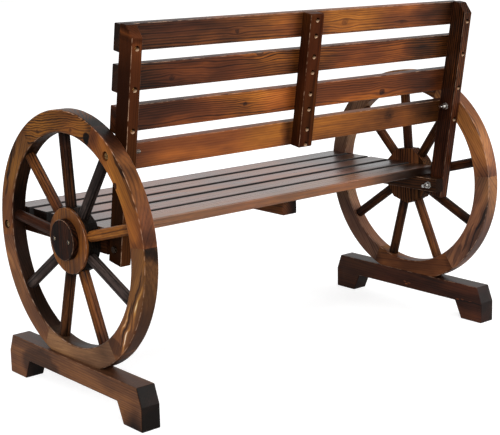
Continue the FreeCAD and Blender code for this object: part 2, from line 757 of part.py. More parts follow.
for side_name, side in SIDES:
    for index in range(int(worth("felloe_count"))):
        felloe(side_name, side, index)
    for index in range(int(worth("spoke_count"))):
        spoke(side_name, side, index)
    hub_drum(side_name, side)
    hub_round(f"{side_name}_hub_disc", side, "disc_radius", "disc_thickness", "disc_arris_radius",
              DISC_X, "0", CAP_SCREWS)
    hub_round(f"{side_name}_hub_cap", side, "cap_radius", "cap_thickness", "cap_arris_radius",
              CAP_X, "cap_lift", [(y, "0") for y, _ in CAP_SCREWS])
    foot(side_name, side)
    post(f"{side_name}_post", f"{side} * {OUTER_RAIL_X}", "rail_width", "post_depth",
         POST_BOTTOM, POST_TOP, "post_bevel", END_SCREWS, "long_screw",
         [POST_BOLT_U, BEARER_BOLT_U])
    bearer(f"{side_name}_outer_rail", f"{side} * {OUTER_RAIL_X}", "rail_width", RAIL_REAR,
           [RAIL_BOLT[0]])
    bearer(f"{side_name}_bearer", f"{side} * {BEARER_X}", "rail_width", BEARER_REAR,
           [RAIL_BOLT[0], BEARER_BOLT[0]])
post("middle_post", "0", "middle_post_width", "middle_post_depth", LOWEST_SLAT, SLAT_TOP,
     "middle_bevel", MIDDLE_SCREWS, "short_screw")
for index in range(len(SLAT_STARTS)):
    back_slat(index)
for index in range(int(worth("seat_board_count"))):
    seat_board(index)
bearer("middle_bearer", "-middle_bearer_shift", "middle_bearer_width", MIDDLE_REAR)
short_screws()
long_screws()
frame_bolts()
doc.recompute()

# Checks before anything is written

for thing in doc.Objects:
    if {"Invalid", "Error"} & set(thing.State):
        raise RuntimeError(f"{thing.Label} did not build: {thing.State}")
for node in nodes:
    if node.Shape.isNull() or not node.Shape.isValid():
        raise RuntimeError(f"{node.Label} has no valid shape")

os.makedirs("parts", exist_ok=True)
for node in nodes:
    node.Shape.exportStep(f"parts/{node.Label}.step")
print(len(nodes), "nodes,", sum(len(node.Shape.Solids) for node in nodes), "solids")
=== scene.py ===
# %% [markdown]
# # A garden bench that stands on two wagon wheels
# The bench is made of torched fir: the boards are burnt with a gas flame until the soft wood browns and
# the hard rings blacken, then brushed and lacquered. Every piece of wood and metal comes ready in shape
# from the frame, so this lesson is about finish: one wood, sawn into fifty-five pieces that all differ,
# and one zinc plate for the screws and bolts.

# %% Load the frame
import math
import random

import bpy
from mathutils import Matrix, Vector


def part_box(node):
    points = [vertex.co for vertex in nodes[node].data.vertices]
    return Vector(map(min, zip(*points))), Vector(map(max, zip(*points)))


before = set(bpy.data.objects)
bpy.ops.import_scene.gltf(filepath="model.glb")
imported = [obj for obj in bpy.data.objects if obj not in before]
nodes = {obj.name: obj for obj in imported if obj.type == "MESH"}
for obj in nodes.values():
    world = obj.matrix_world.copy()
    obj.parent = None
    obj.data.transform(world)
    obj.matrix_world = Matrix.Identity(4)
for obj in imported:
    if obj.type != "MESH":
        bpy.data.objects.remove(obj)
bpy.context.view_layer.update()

# %% [markdown]
# ## Colours and nodes
# A colour is easiest to read as the hex value that a paint program shows. Blender's sockets want linear
# light, so one function turns the one into the other. A second small function adds a shader node, sets
# what is given by name, gives a ramp its stops, and links or fills the inputs. All finishes below are
# built from these two.


# %% Colours and nodes
def linear(hex_colour):
    """The linear RGBA of an sRGB colour such as #805030."""
    channels = [int(hex_colour[i : i + 2], 16) / 255 for i in (1, 3, 5)]
    return [c / 12.92 if c <= 0.04045 else ((c + 0.055) / 1.055) ** 2.4 for c in channels] + [1]


def add(tree, kind, inputs=None, stops=(), **settings):
    """Adds a shader node with its settings and stops, and links or fills its inputs by name or number."""
    node = tree.nodes.new("ShaderNode" + kind)
    for name, value in settings.items():
        setattr(node, name, value)
    for place, colour in stops:
        node.color_ramp.elements.new(place).color = colour
    if stops:
        # a new ramp comes with one stop at each end, which the given ones replace
        node.color_ramp.elements.remove(node.color_ramp.elements[0])
        node.color_ramp.elements.remove(node.color_ramp.elements[-1])
    for socket, value in (inputs or {}).items():
        if isinstance(value, bpy.types.NodeSocket):
            tree.links.new(value, node.inputs[socket])
        else:
            node.inputs[socket].default_value = value
    return node


print("mid brown in linear light", [round(c, 3) for c in linear("#805030")])

# %% [markdown]
# ## The camera
# The photograph was taken from behind the bench, a little above the seat. The camera was solved from the
# straight edges and the wheels' ellipses, so it is written as a place, three turns and a focal length.

# %% Camera sizes, in the photograph's pixels, metres and degrees
PHOTO_WIDTH = 500
CAMERA_PLACE = Vector((1.87431, 2.17934, 0.94151))
CAMERA_AZIMUTH = math.radians(139.8457)
CAMERA_ELEVATION = math.radians(-11.4848)
CAMERA_ROLL = math.radians(-1.3015)
FOCAL_PIXELS = 1236.92
CENTRE_SHIFT_X = -0.35
CENTRE_SHIFT_Y = -17.26
SENSOR_WIDTH = 36
print("the camera stands", round(CAMERA_PLACE.z, 2), "m above the floor")

# %% Camera
level = math.cos(CAMERA_ELEVATION)
ahead = Vector((
    -math.sin(CAMERA_AZIMUTH) * level, math.cos(CAMERA_AZIMUTH) * level, math.sin(CAMERA_ELEVATION)
))
flat_right = ahead.cross(Vector((0, 0, 1))).normalized()
flat_up = flat_right.cross(ahead)
camera_right = flat_right * math.cos(CAMERA_ROLL) + flat_up * math.sin(CAMERA_ROLL)
camera_up = flat_up * math.cos(CAMERA_ROLL) - flat_right * math.sin(CAMERA_ROLL)
camera_data = bpy.data.cameras.new("photo_camera")
camera_data.sensor_width = SENSOR_WIDTH
camera_data.lens = FOCAL_PIXELS * SENSOR_WIDTH / PHOTO_WIDTH
camera_data.shift_x = -CENTRE_SHIFT_X / PHOTO_WIDTH
camera_data.shift_y = CENTRE_SHIFT_Y / PHOTO_WIDTH
camera = bpy.data.objects.new("photo_camera", camera_data)
bpy.context.scene.collection.objects.link(camera)
camera_turn = Matrix((camera_right, camera_up, -ahead)).transposed()
camera.matrix_world = Matrix.Translation(CAMERA_PLACE) @ camera_turn.to_4x4()
bpy.context.scene.camera = camera
print("lens", round(camera_data.lens, 2), "mm, looking along", [round(v, 3) for v in ahead])

# %% [markdown]
# ## The studio
# The bench stands in a white studio, on matt white paper. Three soft boxes light it: a broad one above,
# one over the camera and one to the camera's right. The backdrop is white for the camera and for
# reflections, but gives little light of its own, so the wood keeps its colour. The side of the room
# behind the camera is darker, which keeps dark wood dark.

# %% Studio sizes
WHITE = "#ffffff"
PAPER = "#c4c4c4"
FLOOR_SIDE = 40.0
BACKDROP_WHITE = 1.0
# the floor glows for the camera only: less round the bench, so that its shadow shows, and white far off
FLOOR_GLOW = 0.72
GLOW_STARTS = 1.0
GLOW_IS_WHITE = 3.5
bpy.context.scene.view_settings.view_transform = "Standard"
print("view transform", bpy.context.scene.view_settings.view_transform)


# %% Floor
def empty_material(name):
    """A new material and its node tree, with no nodes in it."""
    material = bpy.data.materials.new(name)
    material.use_nodes = True
    material.node_tree.nodes.clear()
    return material, material.node_tree


bpy.ops.mesh.primitive_plane_add(size=FLOOR_SIDE, location=(0, 0, 0))
floor = bpy.context.object
floor.name = "studio_floor"
floor_paper, tree = empty_material("white_paper_floor")
rays = add(tree, "LightPath")
paper = add(tree, "BsdfDiffuse", {"Color": linear(PAPER)})
floor_place = add(tree, "TexCoord").outputs["Object"]
from_bench = add(tree, "VectorMath", {0: floor_place}, operation="LENGTH").outputs["Value"]
glow_strength = add(
    tree, "MapRange",
    {"Value": from_bench, "From Min": GLOW_STARTS, "From Max": GLOW_IS_WHITE,
     "To Min": FLOOR_GLOW, "To Max": BACKDROP_WHITE},
    interpolation_type="SMOOTHSTEP",
)
glow = add(tree, "Emission", {"Color": linear(WHITE), "Strength": glow_strength.outputs[0]})
both = add(tree, "AddShader", {0: paper.outputs[0], 1: glow.outputs[0]})
seen = add(tree, "MixShader", {0: rays.outputs["Is Camera Ray"], 1: paper.outputs[0], 2: both.outputs[0]})
add(tree, "OutputMaterial", {"Surface": seen.outputs[0]})
floor.data.materials.append(floor_paper)
print("floor of", FLOOR_SIDE, "m")

# %% World
WORLD_GREY = 0.3
ROOM_GREY = 0.08
# how squarely a mirrored ray looks at the backdrop, from where the room brightens to where it is white
BACKDROP_STARTS = 0.3
BACKDROP_IS_WHITE = 0.8
world = bpy.data.worlds.new("white_studio")
bpy.context.scene.world = world
world.use_nodes = True
tree = world.node_tree
tree.nodes.clear()
rays = add(tree, "LightPath")
direction = add(tree, "TexCoord").outputs["Generated"]
backdrop_side = Vector((ahead.x, ahead.y, 0)).normalized()
towards = add(tree, "VectorMath", {0: direction, 1: backdrop_side}, operation="DOT_PRODUCT")
mirror_grey = add(
    tree, "MapRange",
    {"Value": towards.outputs["Value"], "From Min": BACKDROP_STARTS, "From Max": BACKDROP_IS_WHITE,
     "To Min": ROOM_GREY, "To Max": BACKDROP_WHITE},
    interpolation_type="SMOOTHSTEP",
)
room = add(tree, "Background", {"Color": linear(WHITE), "Strength": WORLD_GREY})
mirrored = add(tree, "Background", {"Color": linear(WHITE), "Strength": mirror_grey.outputs[0]})
white = add(tree, "Background", {"Color": linear(WHITE), "Strength": BACKDROP_WHITE})
glossy = add(
    tree, "MixShader", {0: rays.outputs["Is Glossy Ray"], 1: room.outputs[0], 2: mirrored.outputs[0]}
)
clear = add(
    tree, "Math", {0: rays.outputs["Is Camera Ray"], 1: rays.outputs["Is Transmission Ray"]},
    operation="MAXIMUM",
)
final = add(tree, "MixShader", {0: clear.outputs[0], 1: glossy.outputs[0], 2: white.outputs[0]})
add(tree, "OutputWorld", {"Surface": final.outputs[0]})
print("the backdrop stands along", [round(v, 2) for v in backdrop_side])

# %% Lamps, each a square soft box that looks at the middle of the bench
BENCH_MIDDLE = Vector((0, 0, 0.45))
# name, place, side in metres and watts
SOFT_BOXES = (
    ("top_softbox", (0, 0.2, 3.2), 3.0, 68),
    ("camera_softbox", (2.6, 2.6, 2.4), 2.4, 95),
    ("rear_softbox", (-2.4, 3.2, 1.9), 2.4, 85),
)
for name, place, side, watts in SOFT_BOXES:
    box = bpy.data.lights.new(name, "AREA")
    box.size = side
    box.energy = watts
    lamp = bpy.data.objects.new(name, box)
    bpy.context.scene.collection.objects.link(lamp)
    lamp.location = place
    lamp.rotation_euler = (BENCH_MIDDLE - Vector(place)).to_track_quat("-Z", "Y").to_euler()
print(len(SOFT_BOXES), "soft boxes light the bench")

# %% [markdown]
# ## Torched fir
# Fir grows in rings, a pale band each spring and a hard dark one each summer. A plank cuts through those
# rings, so its faces show lines and arches and its ends show arcs. A picture on each face would break at
# every edge. A texture that lives in space does it by itself: it measures the distance from the tree's
# middle, and the board's faces cut it as a saw would. The flame adds dark clouds, black ends and black
# edges, and brushing leaves fine streaks.
#
# All of that goes into one node group, so each piece only says where it lay in the tree, how light it
# is, and where it was burnt. The group is built in steps: its sockets, noises along the grain, the rings,
# what they add up to, and at the end the colour, the roughness and the height.

# %% The wood group and its sockets
FIR_SOCKETS = (
    ("INPUT", "Vector", ("Board place", "Tree place")),
    ("INPUT", "Float", ("Seed", "Ring spacing", "Wave", "Tone", "Clouds", "Streaks", "Lines")),
    ("INPUT", "Float", ("Burn", "Knot", "Arris")),
    ("INPUT", "Color", ("Tint",)),
    ("OUTPUT", "Color", ("Colour",)),
    ("OUTPUT", "Float", ("Roughness", "Height")),
)
fir = bpy.data.node_groups.new("torched_fir", "ShaderNodeTree")
for way, kind, names in FIR_SOCKETS:
    for name in names:
        fir.interface.new_socket(name, in_out=way, socket_type="NodeSocket" + kind)
given = fir.nodes.new("NodeGroupInput").outputs
made = fir.nodes.new("NodeGroupOutput").inputs
print("the wood group has", len(given) - 1, "inputs")

# %% Noises that are stretched along the grain
MM = 0.001
# length along the grain, width across it and detail
NOISE_SIZES = {
    # slow waves in the grain
    "bend": (190 * MM, 190 * MM / 3, 4),
    # patches where the figure is strong or weak
    "patch": (240 * MM, 240 * MM / 2, 1),
    # clouds that the flame leaves
    "cloud": (170 * MM, 40 * MM, 3),
    # streaks that the brush leaves
    "streak": (80 * MM, 2.8 * MM, 3),
    # fibres, which are finer than 0.1 mm in real fir and are drawn this coarse so that they show
    "fibre": (16 * MM, 1.1 * MM, 2),
}
noises = {}
for name, (length, width, detail) in NOISE_SIZES.items():
    stretched = add(
        fir, "VectorMath", {0: given["Board place"], 1: (1 / length, 1 / width, 1 / width)},
        operation="MULTIPLY",
    )
    noises[name] = add(
        fir, "TexNoise",
        {"Vector": stretched.outputs[0], "W": given["Seed"], "Scale": 1, "Detail": detail},
        noise_dimensions="4D",
    ).outputs[0]
print("noises:", ", ".join(noises))

# %% Rings
# one year, from its spring to its autumn: place in the ring, and how hard and dark the wood is there
YEAR_PROFILE = ((0.0, 0.3), (0.1, 0.0), (0.5, 0.08), (0.74, 1.0), (0.88, 1.0), (1.0, 0.3))
WEAKEST_YEAR = 0.25


def grey_stops(profile):
    """A profile of places and values, as the grey stops of a ramp."""
    return [(place, (value, value, value, 1)) for place, value in profile]


# the tree lies along its first axis, so only the other two count for the distance from its middle
flat = add(fir, "VectorMath", {0: given["Tree place"], 1: (0, 1, 1)}, operation="MULTIPLY")
radius = add(fir, "VectorMath", {0: flat.outputs[0]}, operation="LENGTH")
bent = add(
    fir, "Math", {0: noises["bend"], 1: given["Wave"], 2: radius.outputs["Value"]},
    operation="MULTIPLY_ADD",
)
ring = add(fir, "Math", {0: bent.outputs[0], 1: given["Ring spacing"]}, operation="DIVIDE")
phase = add(fir, "Math", {0: ring.outputs[0]}, operation="FRACT")
year = add(fir, "Math", {0: ring.outputs[0]}, operation="FLOOR")
weather = add(fir, "TexWhiteNoise", {"W": year.outputs[0]}, noise_dimensions="1D")
strength = add(fir, "MapRange", {"Value": weather.outputs["Value"], "To Min": WEAKEST_YEAR})
summer = add(fir, "ValToRGB", {"Fac": phase.outputs[0]}, stops=grey_stops(YEAR_PROFILE))
late = add(
    fir, "Math", {0: summer.outputs["Color"], 1: strength.outputs[0]}, operation="MULTIPLY"
).outputs[0]
print("a year's profile has", len(summer.color_ramp.elements), "stops")

# %% Figure: clouds, streaks and summer rings, as light (above zero) and dark
# a noise seldom leaves these ranges round 0.5, so they are stretched to the full effect
CLOUD_RANGE = (0.34, 0.66)
PATCH_RANGE = (0.35, 0.65)
WEAK_FIGURE = 0.45
STRONG_FIGURE = 1.2
STREAK_SHARE = 0.6
FIBRE_SHARE = 0.4
NOISE_MEAN = 0.5
clouded = add(
    fir, "MapRange",
    {"Value": noises["cloud"], "From Min": CLOUD_RANGE[0], "From Max": CLOUD_RANGE[1],
     "To Min": -0.5, "To Max": 0.5},
    interpolation_type="SMOOTHSTEP",
).outputs[0]
figured = add(
    fir, "MapRange",
    {"Value": noises["patch"], "From Min": PATCH_RANGE[0], "From Max": PATCH_RANGE[1],
     "To Min": WEAK_FIGURE, "To Max": STRONG_FIGURE},
).outputs[0]
streaked = add(fir, "CombineXYZ", {0: noises["streak"], 1: noises["fibre"], 2: -1.0})
streaked = add(
    fir, "VectorMath", {0: streaked.outputs[0], 1: (STREAK_SHARE, FIBRE_SHARE, NOISE_MEAN)},
    operation="DOT_PRODUCT",
)
streaked = add(fir, "Math", {0: streaked.outputs["Value"], 1: figured}, operation="MULTIPLY").outputs[0]
lined = add(fir, "Math", {0: late, 1: figured}, operation="MULTIPLY").outputs[0]
print("the figure is drawn", WEAK_FIGURE, "to", STRONG_FIGURE, "times as strong as a look says")

# %% Lightness: the piece's tone, with the figure added and what was burnt taken off
BURN_DARKENS = 0.5
KNOT_DARKENS = 0.4
# clouds and streaks make the wood lighter or darker, summer rings only make it darker
figure = add(fir, "CombineXYZ", {0: clouded, 1: streaked, 2: lined})
figure = add(fir, "VectorMath", {0: figure.outputs[0], 1: (1, 1, -1)}, operation="MULTIPLY")
weights = add(fir, "CombineXYZ", {0: given["Clouds"], 1: given["Streaks"], 2: given["Lines"]})
figure = add(fir, "VectorMath", {0: figure.outputs[0], 1: weights.outputs[0]}, operation="DOT_PRODUCT")
flame = add(fir, "CombineXYZ", {0: given["Burn"], 1: given["Knot"], 2: given["Tone"]})
flame = add(
    fir, "VectorMath", {0: flame.outputs[0], 1: (-BURN_DARKENS, -KNOT_DARKENS, 1)},
    operation="DOT_PRODUCT",
)
lightness = add(
    fir, "Math", {0: figure.outputs["Value"], 1: flame.outputs["Value"]}, operation="ADD"
).outputs[0]
print("a full burn darkens by", BURN_DARKENS, "and a knot by", KNOT_DARKENS)

# %% Wood colours, from char to pale gold
BURNT_TO_PALE = (
    (0.0, "#0e0906"),
    (0.2, "#291911"),
    (0.4, "#4e3322"),
    (0.55, "#724c2f"),
    (0.7, "#996a38"),
    (0.85, "#ba8848"),
    (1.0, "#dbb273"),
)
print("wood colours:", ", ".join(colour for _, colour in BURNT_TO_PALE))

# %% Colour, which wanders between redder and more golden wood from patch to patch
REDDER = "#ffe6e2"
GOLDENER = "#fff4d2"
WARMTH_RANGE = (0.4, 0.6)
# pale wood on the arrises: rubbed-off char, and a painted highlight for the glints of light along them
WORN_AND_GLINT_PALE = "#c9a083"
# colour sockets of a Mix node, which has one pair of sockets for each kind of value
MIX_A = 6
MIX_B = 7
MIX_RESULT = 2
burnt_to_pale = add(
    fir, "ValToRGB", {"Fac": lightness}, stops=[(place, linear(colour)) for place, colour in BURNT_TO_PALE]
)
warmth = add(
    fir, "MapRange", {"Value": noises["patch"], "From Min": WARMTH_RANGE[0], "From Max": WARMTH_RANGE[1]},
    interpolation_type="SMOOTHSTEP",
)
warm = add(
    fir, "Mix", {0: warmth.outputs[0], MIX_A: linear(REDDER), MIX_B: linear(GOLDENER)}, data_type="RGBA"
).outputs[MIX_RESULT]
tinted = burnt_to_pale.outputs["Color"]
for stain in (warm, given["Tint"]):
    tinted = add(
        fir, "Mix", {0: 1.0, MIX_A: tinted, MIX_B: stain}, data_type="RGBA", blend_type="MULTIPLY"
    ).outputs[MIX_RESULT]
# the arrises go pale, partly from rubbing and partly as a painted highlight
wear_and_glint = add(
    fir, "Mix", {0: given["Arris"], MIX_A: tinted, MIX_B: linear(WORN_AND_GLINT_PALE)}, data_type="RGBA"
).outputs[MIX_RESULT]
fir.links.new(wear_and_glint, made["Colour"])
print("patches are tinted", REDDER, "to", GOLDENER)

# %% Roughness and height
# satin lacquer: broad highlights that break up in streaks, and are sharper on the hard summer wood
LACQUER_ROUGHNESS = 0.3
STREAK_ROUGHENS = 0.16
SUMMER_SMOOTHS = 0.08
CLOUD_ROUGHENS = 0.14
# brushing wears the soft spring wood, so summer wood stands up, and streaks and fibres are felt too
SUMMER_STANDS = 0.5
STREAK_STANDS = 0.3
FIBRE_STANDS = 0.25
shine = add(fir, "CombineXYZ", {0: noises["streak"], 1: late, 2: noises["cloud"]})
shine = add(
    fir, "VectorMath", {0: shine.outputs[0], 1: (STREAK_ROUGHENS, -SUMMER_SMOOTHS, CLOUD_ROUGHENS)},
    operation="DOT_PRODUCT",
)
rough = add(fir, "Math", {0: shine.outputs["Value"], 1: LACQUER_ROUGHNESS}, operation="ADD")
relief = add(fir, "CombineXYZ", {0: late, 1: noises["streak"], 2: noises["fibre"]})
relief = add(
    fir, "VectorMath", {0: relief.outputs[0], 1: (SUMMER_STANDS, STREAK_STANDS, FIBRE_STANDS)},
    operation="DOT_PRODUCT",
)
fir.links.new(rough.outputs[0], made["Roughness"])
fir.links.new(relief.outputs["Value"], made["Height"])
print("roughness starts at", LACQUER_ROUGHNESS)

# %% [markdown]
# ## Spots and knots
# A burnt place or a knot is a mark at one place on one board. It could be painted, but a few numbers do
# as well: a soft round spot on the face, put where the photograph shows it, that reaches through the
# wood. A knot is a dark heart with a wobbly rim, and the grain flows round it, so the place that the
# rings are measured from is pulled towards the knot's middle line.

# %% Spots
SPOT_DEPTH = 400 * MM
CRISP_RANGE = (0.1, 0.35)


def soft_spot(tree, place, along, across, half_length, half_width):
    """One spot, 1 in its middle and 0 at its rim. All four sizes are in millimetres."""
    near = add(
        tree, "Mapping",
        {"Vector": place, "Location": (along * MM, across * MM, 0),
         "Scale": (half_length * MM, half_width * MM, SPOT_DEPTH)},
        vector_type="TEXTURE",
    )
    return add(tree, "TexGradient", {"Vector": near.outputs[0]}, gradient_type="SPHERICAL").outputs["Fac"]


def spots(tree, place, marks, crisp=False):
    """The sum of spots. A mark is its place along and across, half length, half width and strength."""
    total = 0.0
    for *spot_sizes, amount in marks:
        spot = soft_spot(tree, place, *spot_sizes)
        if crisp:
            spot = add(
                tree, "MapRange", {"Value": spot, "From Min": CRISP_RANGE[0], "From Max": CRISP_RANGE[1]},
                interpolation_type="SMOOTHSTEP",
            ).outputs[0]
        total = add(tree, "Math", {0: spot, 1: amount, 2: total}, operation="MULTIPLY_ADD").outputs[0]
    return total


print("a spot reaches", SPOT_DEPTH, "m into the wood")

# %% Knots
# from the rim of a knot to its heart: a dark ring round paler wood, and a dark middle
KNOT_PROFILE = ((0.0, 0.0), (0.3, 0.7), (0.55, 0.5), (0.8, 0.8), (1.0, 1.0))
KNOT_STRETCH = 1.4
KNOT_WOBBLE = 9 * MM
# the grain bends this many radii away from the knot, along and across, and so strongly
FLOW_LENGTH = 6.0
FLOW_WIDTH = 3.0
FLOW_STRENGTH = 0.9


def shaken(tree, place, noise, reach):
    """The place, pushed about by a noise, up to half the reach either way."""
    push = add(tree, "VectorMath", {0: noise.outputs["Color"], 1: (NOISE_MEAN,) * 3}, operation="SUBTRACT")
    return add(
        tree, "VectorMath", {0: push.outputs[0], 1: reach, 2: place}, operation="MULTIPLY_ADD"
    ).outputs[0]


def knots(tree, place, marks):
    """Bends the grain round each knot and draws its heart. A mark is along, across, radius and darkness."""
    bent = place
    heart = 0.0
    if marks:
        wobble = add(tree, "TexNoise", {"Vector": place, "Scale": 1 / KNOT_WOBBLE, "Detail": 2})
        wobbly = shaken(tree, place, wobble, (KNOT_WOBBLE,) * 3)
    for along, across, size, darkness in marks:
        flow = soft_spot(tree, place, along, across, size * FLOW_LENGTH, size * FLOW_WIDTH)
        push = add(tree, "VectorMath", {0: place, 1: (along * MM, across * MM, 0)}, operation="SUBTRACT")
        push = add(tree, "VectorMath", {0: push.outputs[0], 1: (0, -FLOW_STRENGTH, 0)}, operation="MULTIPLY")
        push = add(tree, "VectorMath", {0: push.outputs[0], "Scale": flow}, operation="SCALE")
        bent = add(tree, "VectorMath", {0: bent, 1: push.outputs[0]}, operation="ADD").outputs[0]
        core = soft_spot(tree, wobbly, along, across, size * KNOT_STRETCH, size)
        profile = add(tree, "ValToRGB", {"Fac": core}, stops=grey_stops(KNOT_PROFILE))
        heart = add(
            tree, "Math", {0: profile.outputs["Color"], 1: darkness, 2: heart}, operation="MULTIPLY_ADD"
        ).outputs[0]
    return bent, heart


print("a knot's profile has", len(KNOT_PROFILE), "stops")

# %% [markdown]
# ## Wear, flame and bores
# The flame blackens edges and ends most, handling rubs the arrises pale again, and the screws' bores were
# drilled last, so their walls are raw wood. The pale arrises also carry a painted highlight, for the glints
# of light along them, and the bores' raw wood is painted only on walls that face up, as painted light,
# while walls that hang over stay dark, as painted shade. All three follow the shape, so they are read
# from the way the surface faces: 1 squarely on a face, 0 on an edge, and between the two on a rounded arris.

# %% Arrises, rubbed pale and with a painted highlight
ARRIS_NORMAL = 0.7
ARRIS_WIDTH = 0.14
WEAR_AND_GLINT_LENGTH = 14 * MM
WEAR_AND_GLINT_RANGE = (0.42, 0.62)


def facing(tree, normal, axis):
    """How squarely the surface faces along an axis, from either side."""
    along = add(tree, "VectorMath", {0: normal, 1: axis}, operation="DOT_PRODUCT").outputs["Value"]
    return add(tree, "Math", {0: along}, operation="ABSOLUTE").outputs[0]


def worn_and_glinting_arrises(tree, board, seed, on_face, on_end, look):
    """Pale patches along the arrises, where the char is rubbed off and where a painted highlight stands for
    glints.
    """
    arris = add(
        tree, "Math", {0: on_face, 1: ARRIS_NORMAL, 2: ARRIS_WIDTH}, operation="COMPARE"
    ).outputs[0]
    rubbed = add(
        tree, "TexNoise", {"Vector": board, "W": seed, "Scale": 1 / WEAR_AND_GLINT_LENGTH, "Detail": 4},
        noise_dimensions="4D",
    )
    rubbed = add(
        tree, "MapRange",
        {"Value": rubbed.outputs[0], "From Min": WEAR_AND_GLINT_RANGE[0], "From Max": WEAR_AND_GLINT_RANGE[1],
         "To Max": look["arris"]},
    ).outputs[0]
    arris = add(tree, "Math", {0: arris, 1: rubbed}, operation="MULTIPLY").outputs[0]
    turned = add(tree, "Math", {0: on_end, 1: look["arris_turn"]}, operation="LESS_THAN").outputs[0]
    return add(tree, "Math", {0: arris, 1: turned}, operation="MULTIPLY").outputs[0]


print("wear comes in patches of", WEAR_AND_GLINT_LENGTH, "m")

# %% The flame's marks
END_RANGE = (0.3, 0.7)


def burnt(tree, ragged, normal, axes, on_face, on_end, look):
    """How deeply the flame burnt each place on edges, faces, the back side and ends; on a felloe's inner
    tread the back side's darkening is partly painted shade.
    """
    edge = add(tree, "Math", {0: 1.0, 1: on_face}, operation="SUBTRACT").outputs[0]
    edge_burn = add(
        tree, "Math", {0: spots(tree, ragged, look["edge_burns"]), 1: look["edge_burn"]}, operation="ADD"
    ).outputs[0]
    burn = add(
        tree, "Math", {0: edge, 1: edge_burn, 2: spots(tree, ragged, look["burns"])},
        operation="MULTIPLY_ADD",
    ).outputs[0]
    # the back side: on a felloe its inner tread, darkened partly by the flame and partly as painted shade
    back = add(tree, "VectorMath", {0: normal, 1: -axes[1]}, operation="DOT_PRODUCT").outputs["Value"]
    back = add(tree, "Math", {0: back, 1: 0.0}, operation="MAXIMUM").outputs[0]
    burn = add(tree, "Math", {0: back, 1: look["back_burn"], 2: burn}, operation="MULTIPLY_ADD").outputs[0]
    end = add(
        tree, "MapRange",
        {"Value": on_end, "From Min": END_RANGE[0], "From Max": END_RANGE[1], "To Max": look["end_burn"]},
    ).outputs[0]
    burn = add(tree, "Math", {0: burn, 1: end}, operation="ADD").outputs[0]
    scorches = spots(tree, ragged, look["scorches"], crisp=True)
    return add(tree, "Math", {0: scorches, 1: on_face, 2: burn}, operation="MULTIPLY_ADD").outputs[0]


def char_and_gap_shade_bands(tree, board, look):
    """Black bands along both long sides of a face, as wide as the look says: burnt edges, and painted shade
    for the gaps between seat boards.
    """
    sideways = add(tree, "SeparateXYZ", {0: board}).outputs["Y"]
    sideways = add(tree, "Math", {0: sideways}, operation="ABSOLUTE").outputs[0]
    inner_rim = look["half_width"] - look["char_and_gap_shade"] * MM
    return add(
        tree, "MapRange", {"Value": sideways, "From Min": inner_rim, "From Max": look["half_width"]},
        interpolation_type="SMOOTHSTEP",
    ).outputs[0]


print("end grain burns where it turns past", END_RANGE[0])

# %% Raw wood in the bores, with painted light and shade
RAW_FIR = "#e8c4a0"
# a bore's wall is raw wood, but its raw colour is painted only where the wall faces up, as painted light,
# and the wall that hangs over keeps the dark burnt colour, as painted shade
LIT_RANGE = (-0.1, 0.9)


def raw_wood_and_painted_light_in_bores(tree, board, normal, look):
    """The bores' raw wood, painted only on walls that face up, as painted light, with painted shade on the
    rest.
    """
    bored = add(
        tree, "Math", {0: spots(tree, board, look["bores"]), 1: 0.0}, operation="GREATER_THAN"
    ).outputs[0]
    lit = add(tree, "SeparateXYZ", {0: normal}).outputs["Z"]
    lit = add(
        tree, "MapRange", {"Value": lit, "From Min": LIT_RANGE[0], "From Max": LIT_RANGE[1]}
    ).outputs[0]
    return add(tree, "Math", {0: bored, 1: lit}, operation="MULTIPLY").outputs[0]


print("raw fir is", RAW_FIR)

# %% [markdown]
# ## One board's material
# A board's own axes run along its grain, across its face and through its thickness. A Mapping node of
# type Texture turns the frame's place into the board's, so noise can be stretched along the grain of a
# leaning post or a spoke as easily as along a level board. A second one gives the place in the tree: the
# tree's middle lies beside or behind the board and is tilted a little, which draws pointed arches.


# %% Places on the board and in its tree
def places(tree, axes, middle, look):
    """The place on the board, that with the grain bent, the place in the tree, and the knots' hearts."""
    board = add(
        tree, "Mapping",
        {"Vector": add(tree, "TexCoord").outputs["Object"], "Location": middle,
         "Rotation": Matrix(axes).transposed().to_euler()},
        vector_type="TEXTURE",
    ).outputs[0]
    grained, knot_heart = knots(tree, board, look["knots"])
    pith_across, pith_deep = look["pith"]
    tree_place = add(
        tree, "Mapping",
        {"Vector": grained, "Location": (0, pith_across * MM, pith_deep * MM),
         "Rotation": (0, math.radians(look["lean"]), 0)},
        vector_type="TEXTURE",
    ).outputs[0]
    return board, grained, tree_place, knot_heart


upright_piece = Matrix(((0, 0, 1), (0, 1, 0), (-1, 0, 0)))
print("upright grain is turned by", [round(math.degrees(a)) for a in upright_piece.transposed().to_euler()])

# %% Lacquer
# clear lacquer gives the wood its deep colour and its highlights, and char stays dull under it
LACQUER_IOR = 1.5
CHAR_ROUGHNESS = 0.8
BRUSHED_DEPTH = 0.2 * MM


def lacquer(tree, wood, raw, char_and_gap_shade, look):
    """The weathered and lacquered surface, from the wood group's colour, roughness and height."""
    colour = add(
        tree, "HueSaturation", {"Color": wood.outputs["Colour"], "Saturation": look["colourful"]}
    ).outputs[0]
    # raw wood in the bores, painted only where their walls face up: painted light, and painted shade where
    # they hang over
    colour = add(
        tree, "Mix", {0: raw, MIX_A: colour, MIX_B: linear(RAW_FIR)}, data_type="RGBA"
    ).outputs[MIX_RESULT]
    rough = add(tree, "Math", {0: wood.outputs["Roughness"], 1: look["rough"]}, operation="ADD").outputs[0]
    rough = add(tree, "Math", {0: char_and_gap_shade, 1: CHAR_ROUGHNESS, 2: rough}, operation="MULTIPLY_ADD").outputs[0]
    relief = add(
        tree, "Bump",
        {"Height": wood.outputs["Height"], "Strength": look["relief"], "Distance": BRUSHED_DEPTH},
    ).outputs[0]
    return add(
        tree, "BsdfPrincipled",
        {"Base Color": colour, "Roughness": rough, "Normal": relief,
         "IOR": LACQUER_IOR, "Specular IOR Level": look["gloss"]},
    ).outputs[0]


